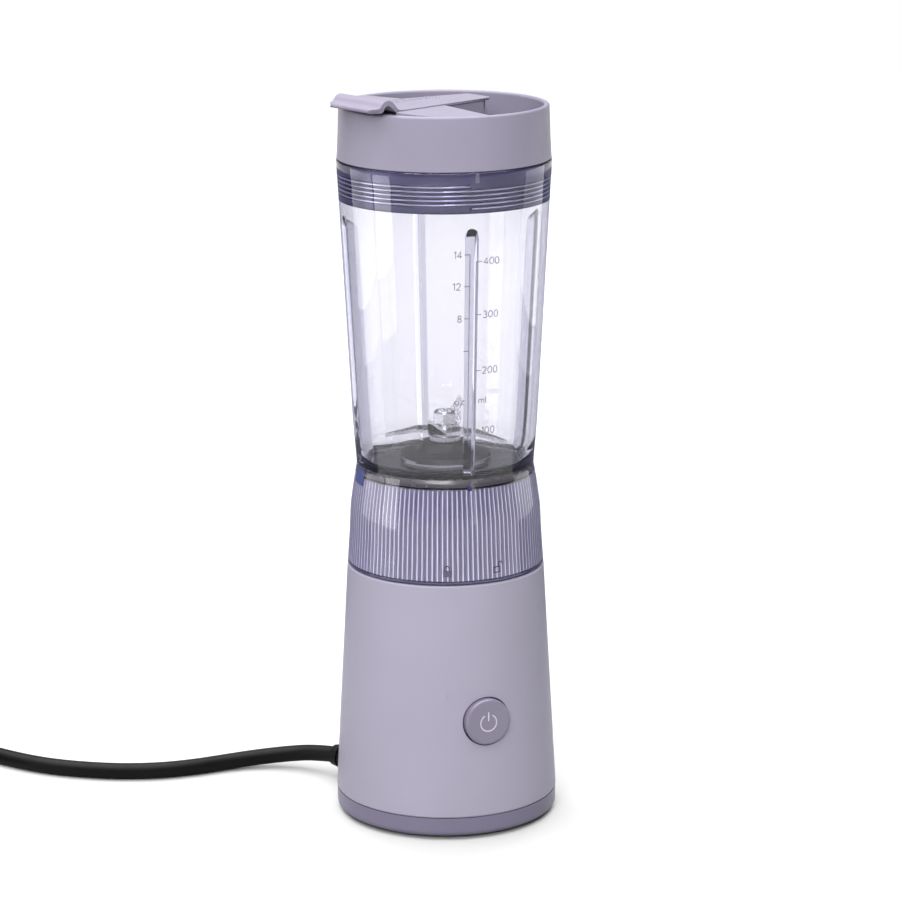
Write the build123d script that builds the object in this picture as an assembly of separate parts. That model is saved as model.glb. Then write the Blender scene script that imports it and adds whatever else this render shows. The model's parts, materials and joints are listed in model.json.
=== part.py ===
from build123d import *
import os
from math import atan2, cos, degrees, pi, radians, sin, tan

# Personal countertop blender: tapered motor base, clear jar with a ribbed twist-lock skirt, blade seat,
# screw lid with a flip cap, and a mains lead.  Millimetres, +Z up, the floor at z = 0, the motor axis on Z.
# An azimuth is measured about Z from the front, which is -Y, towards +X.

# ---- driving dimensions -------------------------------------------------------------------------------
FOOT_H = 1.5            # feet below the bottom cover
SEAM_Z = 9.5            # joint between the bottom cover and the housing
BASE_R = 46.1           # housing radius at the seam
SHOULDER_Z = 106.6      # top of the tapered housing
SHOULDER_R = 40.65
NECK_R = 33.0           # neck that stands inside the jar's skirt
NECK_TOP = 126.5
WALL = 2.6              # housing wall
SKIRT_Z = 107.2         # lower edge of the jar's skirt
SKIRT_R = 40.6
BAND_Z = 146.0          # where the tinted skirt meets the clear cup
BAND_R = 37.03
WAIST_Z = 149.3
WAIST_R = 36.6
FLOOR_Z = 150.0         # cup floor, upper face
RIM_Z = 274.9           # jar rim
RIM_R = 43.6
JAR_WALL = 2.4
LID_Z = 275.3           # lower edge of the lid's collar
LID_TOP = 296.9         # crest of the lid's rim
LID_R = 43.4
LID_TOP_R = 42.45
DECK_Z = 295.3          # shallow deck of the lid
RECESS_Z = 282.5        # floor of the deep recess
PLUG_Z = 258.5          # lower edge of the lid's threaded ring
LID_AZ = -73.3          # azimuth of the flip cap's tab
JAR_AZ = -6.6           # azimuth of the first inner fin of the jar
CORD_AZ = -148.3        # azimuth of the cord's exit
CORD_D = 7.0
BUTTON_Z = 49.5
BUTTON_R = 9.7
SHAFT_R = 3.0           # motor shaft
BLADE_SHAFT_R = 4.0


# ---- helpers ------------------------------------------------------------------------------------------
def disc(radius, z0, z1, x=0, y=0):
    """Upright cylinder between two heights."""
    return Pos(x, y, (z0 + z1) / 2) * Cylinder(radius, z1 - z0)


def ring(inner, outer, z0, z1, x=0, y=0):
    """Upright tube between two heights."""
    return disc(outer, z0, z1, x, y) - disc(inner, z0 - 1, z1 + 1, x, y)


def block(x0, x1, y0, y1, z0, z1):
    """Box between two corners."""
    return Pos((x0 + x1) / 2, (y0 + y1) / 2, (z0 + z1) / 2) * Box(x1 - x0, y1 - y0, z1 - z0)


def turned(*points):
    """Solid of revolution about Z from an outline of (radius, height) corners."""
    return revolve(Plane.XZ * make_face(Polyline(*points, close=True)), Axis.Z)


def turned_lines(*lines):
    """Solid of revolution about Z from a closed chain of lines and curves in (radius, height)."""
    return revolve(Plane.XZ * make_face(Wire([edge for line in lines for edge in line.edges()])), Axis.Z)


def at(azimuth, radius=0.0, z=0.0):
    """Place at an azimuth: local -Y points outward from the axis."""
    return Rot(0, 0, azimuth) * Pos(0, -radius, z)


def around(count, shape, first=0.0):
    """Copies of a shape turned evenly about Z."""
    return [Rot(0, 0, first + i * 360 / count) * shape for i in range(count)]


def sector(inner, outer, z0, z1, half_angle, azimuth=0.0):
    """Part of a ring, centred on an azimuth."""
    reach = 2 * outer
    wedge_points = [(0, 0), (-reach * sin(radians(half_angle)), -reach * cos(radians(half_angle))),
                    (reach * sin(radians(half_angle)), -reach * cos(radians(half_angle)))]
    wedge = extrude(make_face(Polyline(*wedge_points, close=True)), z1 - z0)
    return Rot(0, 0, azimuth) * (ring(inner, outer, z0, z1) & (Pos(0, 0, z0) * wedge))


def along_y(radius, y0, y1, x=0, z=0):
    """Cylinder along Y between two places."""
    return Pos(x, (y0 + y1) / 2, z) * Rot(90, 0, 0) * Cylinder(radius, y1 - y0)


def along_x(radius, x0, x1, y=0, z=0):
    """Cylinder along X between two places."""
    return Pos((x0 + x1) / 2, y, z) * Rot(0, 90, 0) * Cylinder(radius, x1 - x0)


def solids(shapes):
    """One compound of separate solids, each of them flattened out of its own result."""
    return Compound([solid for shape in shapes for solid in shape.solids()])


def screw(head_r, head_h, shank_r, length):
    """Screw along Z with its head's top at z = 0 and its shank downward, cross recess in the head."""
    body = disc(head_r, -head_h, 0) + disc(shank_r, -head_h - length, -head_h)
    recess_depth = 0.6 * head_h
    for turn in (0, 90):
        body = body - Rot(0, 0, turn) * Pos(0, 0, -recess_depth / 2) * Box(head_r * 1.1, 0.7, recess_depth)
    return body


def housing_r(z):
    """Outer radius of the tapered housing at a height."""
    return BASE_R + (SHOULDER_R - BASE_R) * (z - SEAM_Z) / (SHOULDER_Z - SEAM_Z)


# ---- base: shells -------------------------------------------------------------------------------------
POST_R = 38.0           # circle of the bottom cover's screws
POST_TOP = 26.0
FOOT_R = 38.0           # circle of the feet
FOOT_D = 9.5
COVER_R = 45.9          # bottom cover, a little inside the housing
COVER_IN = 43.2
COVER_H = 2.4           # its thickness
THROAT_R = 9.3          # hole in the top of the neck for the shaft and its seal
LUG_R = 35.9            # outer radius of the bayonet lugs
LUG_Z = (114.0, 117.5)
RELIEF_R = 5.9          # hole in the wall for the strain relief
COLLAR_R = 12.1         # ring behind the wall round the button
BUTTON_GAP = 0.5
MOTOR_SCREW_R = 27.0    # circle of the motor's four mounting screws
BOSS_Z = 98.2           # lower end of the motor's mounting bosses
LUG_HALF = 13.0         # half the angle of one bayonet lug
CLAMP_R = 33.0          # how far from the axis the cord clamp sits
CLAMP_HALF = 9.0        # half the distance between its two screws


def cord_hole():
    """Round hole through the wall where the strain relief sits."""
    return at(CORD_AZ, 0, SEAM_Z) * along_y(RELIEF_R, -56, -36)


def base_housing():
    inner_top = SHOULDER_Z - WALL
    shell = turned(
        (BASE_R, SEAM_Z), (SHOULDER_R, SHOULDER_Z), (NECK_R, SHOULDER_Z), (NECK_R, NECK_TOP),
        (THROAT_R, NECK_TOP), (THROAT_R, NECK_TOP - WALL), (NECK_R - WALL, NECK_TOP - WALL),
        (NECK_R - WALL, inner_top), (housing_r(inner_top) - WALL, inner_top), (BASE_R - WALL, SEAM_Z))
    upper = [e for e in shell.edges().filter_by(GeomType.CIRCLE)
             if e.radius > NECK_R + 1 and abs(e.center().Z - SHOULDER_Z) < 0.01]
    shell = fillet(upper, 0.9)
    lower = [e for e in shell.edges().filter_by(GeomType.CIRCLE) if abs(e.radius - BASE_R) < 0.01]
    shell = fillet(lower, 0.8)
    for azimuth in (0, 90, 180, 270):
        shell = shell + sector(NECK_R - 1, LUG_R, *LUG_Z, LUG_HALF, azimuth)
    post = disc(4.0, 5.7, POST_TOP, 0, -POST_R) + block(-1.5, 1.5, -COVER_IN, -POST_R, 10.5, POST_TOP)
    post = post - disc(1.2, 5.0, POST_TOP - 6, 0, -POST_R)
    for copy in around(4, post):
        shell = shell + copy
    boss = disc(3.6, BOSS_Z, NECK_TOP - 1, 0, -MOTOR_SCREW_R) - disc(1.3, BOSS_Z - 1, 106, 0, -MOTOR_SCREW_R)
    for copy in around(4, boss, 45):
        shell = shell + copy
    button_hole = along_y(BUTTON_R + BUTTON_GAP, -60, -37, 0, BUTTON_Z)
    shell = shell + along_y(COLLAR_R, -41.6, -38.5, 0, BUTTON_Z)
    for x in BOARD_SCREW_X:
        for z in BOARD_SCREW_Z:
            shell = shell + along_y(2.8, -housing_r(z) * 0.93, BOARD_Y, x, z)
            shell = shell - along_y(1.0, -36, BOARD_Y + 1, x, z)
    return shell - button_hole - cord_hole()


def bottom_cover():
    joint = SEAM_Z - 0.1
    cover = turned((0, FOOT_H), (COVER_R, FOOT_H), (COVER_R, joint), (COVER_IN, joint),
                   (COVER_IN, FOOT_H + COVER_H), (0, FOOT_H + COVER_H))
    edge = [e for e in cover.edges().filter_by(GeomType.CIRCLE)
            if abs(e.radius - COVER_R) < 0.01 and e.center().Z < FOOT_H + 0.1]
    cover = fillet(edge, 2.2)
    boss = disc(5.0, FOOT_H, 5.6, 0, -POST_R)
    for copy in around(4, boss):
        cover = cover + copy
    for copy in around(4, disc(3.4, 0, 4.1, 0, -POST_R) + disc(1.7, 0, 7, 0, -POST_R)):
        cover = cover - copy
    for copy in around(4, disc(FOOT_D / 2 + 0.15, 0, FOOT_H + 1.2, 0, -FOOT_R), 45):
        cover = cover - copy
    slot = Pos(0, -23, FOOT_H + 1.2) * Box(2.4, 14, 5)
    for copy in around(12, slot, 15):
        cover = cover - copy
    for side in (-1, 1):
        x = side * CLAMP_HALF
        boss = disc(2.8, FOOT_H + 1.4, 8.0, x, 0) - disc(1.2, 4.0, 9.0, x, 0)
        cover = cover - at(CORD_AZ, CLAMP_R) * disc(2.7, 4.0, 9.0, x, 0)
        cover = cover + at(CORD_AZ, CLAMP_R) * boss
    return cover - cord_hole()


def rubber_feet():
    foot = disc(FOOT_D / 2, 0, FOOT_H + 1.1)
    foot = fillet(foot.edges().group_by(Axis.Z)[0], 0.5)
    return solids(around(4, Pos(0, -FOOT_R, 0) * foot, 45))


def cover_screws():
    return solids(around(4, Pos(0, -POST_R, 2.2) * Rot(180, 0, 0) * screw(3.1, 1.8, 1.2, 13)))


# ---- base: motor --------------------------------------------------------------------------------------
STATOR_R = 27.0
STATOR_Z = (62.0, 86.0)
BOLT_R = 24.8           # circle of the two long stator bolts
COIL_SPAN = (56.5, 91.5)    # heights of the field coils and of the armature's windings
UPPER_Z = 92.5          # lower face of the upper bracket
LOWER_Z = 35.5          # lower face of the lower bracket
BRACKET_H = 3.0
BEARING_R = 5.5
HUB_R = 8.5             # bearing hub of each bracket
HUB_UP, HUB_DOWN = 99.5, 30.5
ARMATURE_R = 14.1
COMMUTATOR_R = 8.0
SLOTS = 12              # of the armature and the commutator


def stator_core():
    core = ring(22.6, STATOR_R, *STATOR_Z)
    for azimuth in (90, 270):
        core = core + sector(14.5, 17.4, *STATOR_Z, 58, azimuth)
        core = core + at(azimuth) * block(-8, 8, -23.2, -16.6, *STATOR_Z)
    core = core - disc(14.5, 60, 88)
    for azimuth in (0, 180):
        core = core - at(azimuth) * disc(1.7, 60, 88, 0, -BOLT_R)
    return core


def field_coils():
    low, high = STATOR_Z
    coil = sector(17.7, 22.3, *COIL_SPAN, 34) - block(-8.2, 8.2, -30, -10, low - 0.2, high + 0.2)
    return solids([at(90) * coil, at(270) * coil])


def upper_bracket():
    top = UPPER_Z + BRACKET_H
    below, above = UPPER_Z - 1, top + 1
    plate = disc(STATOR_R, UPPER_Z, top) + disc(HUB_R, UPPER_Z, HUB_UP)
    for copy in around(4, disc(4.6, UPPER_Z, top, 0, -MOTOR_SCREW_R), 45):
        plate = plate + copy
    for azimuth in (0, 180):
        plate = plate + at(azimuth) * disc(3.2, STATOR_Z[1], UPPER_Z + 0.5, 0, -BOLT_R)
    plate = plate - disc(BEARING_R, below, HUB_UP + 1)
    for copy in around(4, disc(1.8, below, above, 0, -MOTOR_SCREW_R), 45):
        plate = plate - copy
    for copy in around(8, disc(3.4, below, above, 0, -15.5), 22.5):
        plate = plate - copy
    for azimuth in (0, 180):
        plate = plate - at(azimuth) * disc(1.3, STATOR_Z[1] - 1, top - 1, 0, -BOLT_R)
    return plate


def lower_bracket():
    top = LOWER_Z + BRACKET_H
    below, above = LOWER_Z - 1, top + 1
    plate = disc(STATOR_R, LOWER_Z, top) + disc(HUB_R, HUB_DOWN, top)
    for azimuth in (0, 180):
        plate = plate + at(azimuth) * disc(3.2, top - 0.5, STATOR_Z[0], 0, -BOLT_R)
    plate = plate - disc(BEARING_R, HUB_DOWN - 1, above)
    for copy in around(6, disc(4.2, below, above, 0, -16), 30):
        plate = plate - copy
    for azimuth in (0, 180):
        plate = plate - at(azimuth) * disc(1.7, below, STATOR_Z[0] + 1, 0, -BOLT_R)
    return plate


def stator_bolts():
    bolt = Pos(0, -BOLT_R, 33.5) * Rot(180, 0, 0) * screw(2.8, 2.0, 1.25, 58.5)
    return solids([bolt, Rot(0, 0, 180) * bolt])


def motor_screws():
    one = Pos(0, -MOTOR_SCREW_R, 90.3) * Rot(180, 0, 0) * screw(3.0, 2.2, 1.3, 13)
    return solids(around(4, one, 45))


def rubber_mounts():
    return solids(around(4, ring(1.8, 3.6, UPPER_Z + BRACKET_H, BOSS_Z, 0, -MOTOR_SCREW_R), 45))


def bearing(z0, z1):
    """Self-aligning sleeve bearing on the motor shaft."""
    return ring(SHAFT_R + 0.05, BEARING_R, z0, z1)


def brush_holders():
    holder = block(-4, 4, -25, -9.3, 42.5, 52.5) - block(-2.6, 2.6, -24, -9, 44.2, 50.8)
    holder = holder + block(-4, 4, -22, -14, 38.5, 42.5)
    return solids([at(90) * holder, at(270) * holder])


def carbon_brushes():
    brush = block(-2.5, 2.5, -18, -8.3, 44.3, 50.7)
    return solids([at(90) * brush, at(270) * brush])


def brush_springs():
    """Coil spring that presses each brush inward."""
    turns = Helix(pitch=1.3, height=5.0, radius=1.7)
    start = Plane(origin=turns @ 0, z_dir=turns % 0)
    coil = Pos(0, -23.5, 47.5) * Rot(-90, 0, 0) * sweep(start * Circle(0.3), path=turns)
    return solids([at(90) * coil, at(270) * coil])


def neck_seal():
    return turned((SHAFT_R + 0.3, 124.9), (6.5, 123.9), (THROAT_R, 123.9), (THROAT_R, NECK_TOP),
                  (10.5, NECK_TOP), (10.5, 127.1), (5.5, 127.1), (SHAFT_R + 0.3, 125.9))


# ---- base: switch and leads ---------------------------------------------------------------------------
BOARD_Y = -31.0         # front face of the control board
BOARD_SCREW_X = (-13.5, 13.5)
BOARD_SCREW_Z = (38.5, 60.5)


def control_board():
    board = block(-17, 17, BOARD_Y, BOARD_Y + 1.6, 35.5, 63.5)
    for x in BOARD_SCREW_X:
        for z in BOARD_SCREW_Z:
            board = board - along_y(1.4, BOARD_Y - 1, BOARD_Y + 3, x, z)
    board = board + block(-8, -1, BOARD_Y - 3, BOARD_Y + 0.5, 37, 41)
    board = board + block(3, 8, BOARD_Y - 2.5, BOARD_Y + 0.5, 37, 43)
    board = board + along_y(2.6, BOARD_Y - 2.8, BOARD_Y + 0.5, 7, 57)
    return board + block(-9, -4, BOARD_Y - 2, BOARD_Y + 0.5, 55, 60)


def board_screws():
    one = Rot(-90, 0, 0) * screw(2.4, 1.4, 0.95, 5.5)
    return solids([Pos(x, BOARD_Y + 3.0, z) * one for x in BOARD_SCREW_X for z in BOARD_SCREW_Z])


def push_switch():
    body = block(-3.1, 3.1, BOARD_Y - 3.5, BOARD_Y, BUTTON_Z - 3.1, BUTTON_Z + 3.1)
    return body - along_y(2.0, BOARD_Y - 4, BOARD_Y - 0.3, 0, BUTTON_Z)


def switch_plunger():
    return along_y(1.75, -36.5, BOARD_Y - 2.0, 0, BUTTON_Z)


def power_button():
    face_y = -45.7
    cap = along_y(BUTTON_R, face_y, -37.3, 0, BUTTON_Z)
    cap = fillet(cap.edges().group_by(Axis.Y)[0], 1.1)
    cap = cap + along_y(11.3, -38.4, -37.2, 0, BUTTON_Z)
    cap = cap - along_y(BUTTON_R - 1.8, face_y + 2.0, -36, 0, BUTTON_Z)
    return cap + along_y(2.4, face_y + 1.5, -36.5, 0, BUTTON_Z)


def strain_relief():
    """Flexible sleeve held by a groove in the wall, tapering outward with slots across it."""
    sleeve = revolve(Plane.XY * make_face(Polyline(
        (0, -40.6), (7.0, -40.6), (7.0, -42.3), (5.6, -42.3), (5.6, -46.9), (6.6, -46.9), (6.6, -48.2),
        (4.4, -EXIT_R), (0, -EXIT_R), close=True)), Axis.Y)
    sleeve = sleeve - block(-8, 8, -46, -40, -9, -SEAM_Z + FOOT_H + 2.5)
    for i in range(3):
        y = -50.2 - i * 2.8
        cut = along_y(9, y, y + 1.1) - along_y(3.9, y - 1, y + 2) - block(-1.2, 1.2, y - 1, y + 2, -9, 9)
        sleeve = sleeve - cut
    return at(CORD_AZ, 0, SEAM_Z) * sleeve


def cord_jacket_end():
    return at(CORD_AZ, 0, SEAM_Z) * along_y(CORD_D / 2, -40.6, -28.0)


def cord_clamp():
    bar = block(-12, 12, -3, 3, 10.2, 15.0) + block(-12, -6, -3, 3, 8.0, 12) + block(6, 12, -3, 3, 8.0, 12)
    for side in (-1, 1):
        bar = bar - disc(1.4, 0, 20, side * CLAMP_HALF, 0)
    return at(CORD_AZ, CLAMP_R) * bar - at(CORD_AZ, 0, SEAM_Z) * along_y(CORD_D / 2, -40, -26)


def clamp_screws():
    one = screw(2.6, 1.6, 1.2, 10.6)
    return solids([at(CORD_AZ, CLAMP_R, 16.6) * Pos(side * CLAMP_HALF, 0, 0) * one for side in (-1, 1)])


def polar_point(azimuth, radius, z):
    """Point at an azimuth, a radius and a height."""
    return (radius * sin(radians(azimuth)), -radius * cos(radians(azimuth)), z)


def internal_leads():
    """The two wires from the cord's end round the fan to the lower edge of the control board."""
    leads = []
    for i, radius in enumerate((32.0, 29.6)):
        end_x = -10.5 + 4.0 * i
        route = [polar_point(CORD_AZ, 28.0, SEAM_Z - 1.2 + 2.4 * i), polar_point(-136, radius - 2, 11.5),
                 polar_point(-112, radius, 13.0), polar_point(-82, radius, 15.0),
                 polar_point(-54, radius, 20.0), polar_point(-30, radius + 1.5, 27.0),
                 (end_x, BOARD_Y + 0.8, 35.5)]
        leads.append(corded(route, 1.9))
    return solids(leads)


# ---- motor rotor --------------------------------------------------------------------------------------
def motor_shaft():
    return chamfer(disc(SHAFT_R, 16, 135.2).edges(), 0.4)


def armature_core():
    core = ring(SHAFT_R, ARMATURE_R, *STATOR_Z)
    slot = block(-1.4, 1.4, -13.4, -8.2, 61, 87) + block(-0.6, 0.6, -15, -13, 61, 87)
    for copy in around(SLOTS, slot):
        core = core - copy
    return core


def armature_windings():
    ends = ring(5.0, 12.6, COIL_SPAN[0], STATOR_Z[0]) + ring(5.0, 12.6, STATOR_Z[1], COIL_SPAN[1])
    ends = fillet([e for e in ends.edges().filter_by(GeomType.CIRCLE)
                   if e.radius > 12 and not 60 < e.center().Z < 88], 1.8)
    bar = block(-1.3, 1.3, -12.5, -8.3, 61.5, 86.5)
    for copy in around(SLOTS, bar):
        ends = ends + copy
    return ends


def commutator():
    body = ring(SHAFT_R, COMMUTATOR_R, 42.0, 54.5) + ring(SHAFT_R, 9.3, 53.0, 55.5)
    for copy in around(SLOTS, block(-0.3, 0.3, -9, -6.8, 41, 52.9)):
        body = body - copy
    return body


def cooling_fan():
    fan = ring(SHAFT_R, 7.0, 18.5, 29.5) + ring(6.0, 25.0, 27.6, 29.2)
    blade = block(-0.7, 0.7, -24.5, -6.2, 20.0, 28.0)
    for copy in around(9, blade):
        fan = fan + copy
    return fan


STAR_TOP = 136.2        # top of the drive coupler's star
DRIVEN_Z = (127.6, 140.2)
SEAT_R = 13.4           # blade housing below the cup floor
SEAT_LOW = 141.0
BUSH_R = 6.6


def lobed_plate(z0, z1, grow=0.0):
    """Six-lobed star: a round core with six round lobes."""
    shape = disc(6.2 + grow, z0, z1)
    for copy in around(6, disc(2.2 + grow, z0, z1, 0, -6.6)):
        shape = shape + copy
    return shape


def drive_coupler():
    return lobed_plate(128.0, STAR_TOP) - disc(SHAFT_R, 127, STAR_TOP - 1)


# ---- blade seat and blade rotor -----------------------------------------------------------------------
def blade_housing():
    return turned((BUSH_R, SEAT_LOW), (SEAT_R, SEAT_LOW), (SEAT_R, 151.3), (19.0, 151.3), (18.4, 153.2),
                  (11.5, 154.2), (9.0, 158.0), (BUSH_R, 158.4))


def blade_bushing():
    return ring(BLADE_SHAFT_R + 0.06, BUSH_R, SEAT_LOW, 158.0)


def floor_gasket():
    return ring(14.2, 18.6, FLOOR_Z + 0.15, 151.3)


def housing_nut():
    nut = ring(SEAT_R, 18.0, 142.0, 146.8)
    for copy in around(6, block(-1.6, 1.6, -19, -17, 141, 148)):
        nut = nut - copy
    return nut


def blade_shaft():
    shaft = disc(BLADE_SHAFT_R, 137.6, 161.4) + disc(3.0, 161.0, 169.5)
    return chamfer(shaft.edges().group_by(Axis.Z)[-1], 0.4)


def driven_coupler():
    body = disc(12.6, *DRIVEN_Z) - lobed_plate(DRIVEN_Z[0] - 1, STAR_TOP + 0.8, 0.35)
    body = body - disc(BLADE_SHAFT_R, 137.6, SEAT_LOW)
    for copy in around(12, disc(0.8, DRIVEN_Z[0] - 1, SEAT_LOW, 0, -13.0)):
        body = body - copy
    return body


def thrust_washer():
    return ring(BLADE_SHAFT_R, 6.4, 158.5, 160.2) + ring(BLADE_SHAFT_R, 5.4, 160.0, 161.4)


def winged_blade(z, rise, reach):
    """Stamped bar with two wings: each wing bends up or down and tapers to its tip."""
    thickness = 1.5
    bend, tip = 12.0, reach
    band = [(-tip, z + rise), (-bend, z), (bend, z), (tip, z + rise)]
    upper = [(x, h + thickness) for x, h in reversed(band)]
    bar = extrude(Plane.XZ * make_face(Polyline(*band, *upper, close=True)), 6, both=True)
    outline = make_face(Polyline((-tip, 4.5), (-bend, 5.5), (0, 6), (bend, 2.0), (tip, -3.2), (tip, -4.5),
                                 (bend, -5.5), (0, -6), (-bend, -2.0), (-tip, 3.2), close=True))
    bar = bar & (Pos(0, 0, z - 20) * extrude(outline, 40))
    return bar - disc(3.0, z - 5, z + 5)


def upper_blade():
    return Rot(0, 0, 62) * winged_blade(162.9, 7.5, 24.5)


def lower_blade():
    return Rot(0, 0, -28) * winged_blade(161.4, -3.6, 25.5)


def blade_washer():
    return ring(3.0, 5.6, 164.4, 165.4)


def blade_nut():
    nut = extrude(Pos(0, 0, 165.4) * RegularPolygon(5.2, 6), 4.6)
    nut = nut + disc(4.2, 169.5, 171.0)
    nut = fillet(nut.edges().group_by(Axis.Z)[-1], 0.7)
    return nut - disc(3.0, 165, 169.5)


# ---- jar ----------------------------------------------------------------------------------------------
FIN_IN_R = 30.4         # how near the axis a fin comes at the cup floor
FIN_REACH = 30.0
FIN_TOP = 252.5
FIN_HALF = 2.1
FIN_LEAN = 3.3          # degrees by which a fin's inner edge follows the tapered side
BULGE = (38.0, 167.0)   # where the straight tapered side starts
OUTER_TOP = (RIM_R - 0.15, 268.0)
BAND_IN = 33.4          # inner radius of the joint between cup and skirt


def jar_cup():
    side = Spline((BAND_R, BAND_Z), (WAIST_R, WAIST_Z), (37.12, 156.5), BULGE,
                  tangents=((-0.16, 1), (0.0536, 1)))
    rim = Polyline(OUTER_TOP, (RIM_R, 269.5), (RIM_R, RIM_Z), (41.5, RIM_Z), (41.1, 273.6))
    inner_low = (WAIST_R + 0.25 - JAR_WALL, 154.0)
    inner_bulge = (BULGE[0] - JAR_WALL, BULGE[1])
    inner = Spline(inner_bulge, (WAIST_R + 0.85 - JAR_WALL, 160.0), inner_low,
                   tangents=((-0.0536, -1), (-0.02, -1)))
    floor_corner = Polyline(inner_low, (31.4, FLOOR_Z), (13.8, FLOOR_Z), (13.8, 147.0), (33.1, 147.0),
                            (BAND_IN, BAND_Z), (BAND_R, BAND_Z))
    cup = turned_lines(side, Line(BULGE, OUTER_TOP), rim, Line((41.1, 273.6), inner_bulge), inner,
                       floor_corner)
    fin = block(-FIN_HALF, FIN_HALF, -45, -28.0, FLOOR_Z - 1, FIN_TOP)
    fin = fillet(fin.edges().filter_by(Axis.Y).group_by(Axis.Z)[-1], 2.0)
    inside_fins = Pos(0, FIN_REACH / 2 - FIN_IN_R, FLOOR_Z) * Rot(FIN_LEAN, 0, 0) * Box(8, FIN_REACH, 300)
    within_wall = turned((0, FLOOR_Z - 0.5), (35.4, FLOOR_Z - 0.5), (35.4, 152), (37.2, 168), (42.2, 262),
                         (0, 262))
    fins = around(4, (fin - inside_fins) & within_wall, JAR_AZ)
    for one in fins:
        cup = cup + one
    return cup


def jar_skirt():
    outer = Spline((SKIRT_R, SKIRT_Z), (39.75, 120.0), (39.2, 131.0), (37.9, 140.6), (BAND_R, BAND_Z),
                   tangents=((-0.07, 1), (-0.16, 1)))
    inside = Polyline((BAND_R, BAND_Z), (BAND_IN, BAND_Z), (35.4, 138.0), (36.6, 130.0), (38.0, SKIRT_Z),
                      (SKIRT_R, SKIRT_Z))
    skirt = turned_lines(outer, inside)
    for azimuth in (0, 90, 180, 270):
        skirt = skirt + sector(36.2, 38.6, 109.5, 113.2, LUG_HALF - 1, azimuth)
    return skirt


# ---- lid ----------------------------------------------------------------------------------------------
RIM_IN = 40.2           # inner wall of the lid's rim
CHORD_Y = -9.0          # straight edge between the deck and the deep recess, in the lid's own direction
HINGE_Y = 15.5          # flip cap's pin
HINGE_Z = 290.6
PIN_R = 1.25
TONGUE = [(-15.35, -37.0), (-7.3, 19.3), (7.3, 19.3), (15.35, -37.0)]
SPOUT_Y = -28.0         # drinking opening
KNUCKLE_HALF = 4.35     # half the length of the flip cap's hinge knuckle
EAR_X = (4.7, 6.6)      # inner and outer face of each ear of the lid's hinge
TONGUE_TOP = 297.5
TONGUE_H = 1.9
THREAD_IN, THREAD_OUT = 37.4, 39.2


def tongue(shrink, z0, z1):
    """Tapered plan of the flip cap's tongue between two heights; shrink narrows it."""
    outline = [(x - shrink * (1 if x > 0 else -1), y) for x, y in TONGUE]
    return Pos(0, 0, z0) * extrude(make_face(Polyline(*outline, close=True)), z1 - z0)


def spout_slot(grow, z0, z1):
    """Rounded slot of the drinking opening."""
    return Pos(0, SPOUT_Y, z0) * extrude(SlotOverall(16 + 2 * grow, 9 + 2 * grow), z1 - z0)


def lid_body():
    lid = turned((0, RECESS_Z - 2), (40.9, RECESS_Z - 2), (40.9, LID_Z), (LID_R, LID_Z), (42.9, 284.0),
                 (LID_TOP_R, LID_TOP), (0, LID_TOP))
    lid = lid - disc(RIM_IN, DECK_Z, LID_TOP + 1)
    crest = [e for e in lid.edges().filter_by(GeomType.CIRCLE) if abs(e.center().Z - LID_TOP) < 0.01]
    lid = fillet(crest, 1.05)
    platform = tongue(1.4, 280, 300) & block(-20, 20, CHORD_Y - 1, HINGE_Y - 4.2, 280, 300)
    pit = disc(RIM_IN, RECESS_Z, LID_TOP + 1) & block(-50, 50, CHORD_Y, 50, 280, 300)
    lid = lid - (pit - platform)
    under = disc(37.6, 279, DECK_Z - 2.2) & block(-50, 50, -50, CHORD_Y - 2.0, 270, 300)
    lid = lid - under
    lid = lid - spout_slot(0, 290, 300)
    for side in (-1, 1):
        x0, x1 = sorted(side * x for x in EAR_X)
        ear = block(x0, x1, HINGE_Y - 6, HINGE_Y - 0.3, RECESS_Z - 0.5, HINGE_Z + 3.2)
        lid = lid + ear + along_x(3.2, x0, x1, HINGE_Y, HINGE_Z)
    lid = lid - along_x(PIN_R, -EAR_X[1] - 0.1, EAR_X[1] + 0.1, HINGE_Y, HINGE_Z)
    return Rot(0, 0, LID_AZ) * lid


def lid_plug():
    """Threaded ring that screws into the jar: parallel ridges stand for the thread."""
    body = ring(THREAD_IN, THREAD_OUT, PLUG_Z, LID_Z) + ring(THREAD_IN, 40.9, LID_Z, RECESS_Z - 2.0)
    for i in range(4):
        z = PLUG_Z + 2.2 + 3.0 * i
        body = body + turned((39.0, z - 0.9), (39.9, z - 0.3), (39.9, z + 0.3), (39.0, z + 0.9))
    return body


def lid_gasket():
    return ring(39.4, 40.85, 273.4, 275.1)


def flap_pin():
    return Rot(0, 0, LID_AZ) * along_x(PIN_R, -EAR_X[1], EAR_X[1], HINGE_Y, HINGE_Z)


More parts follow.
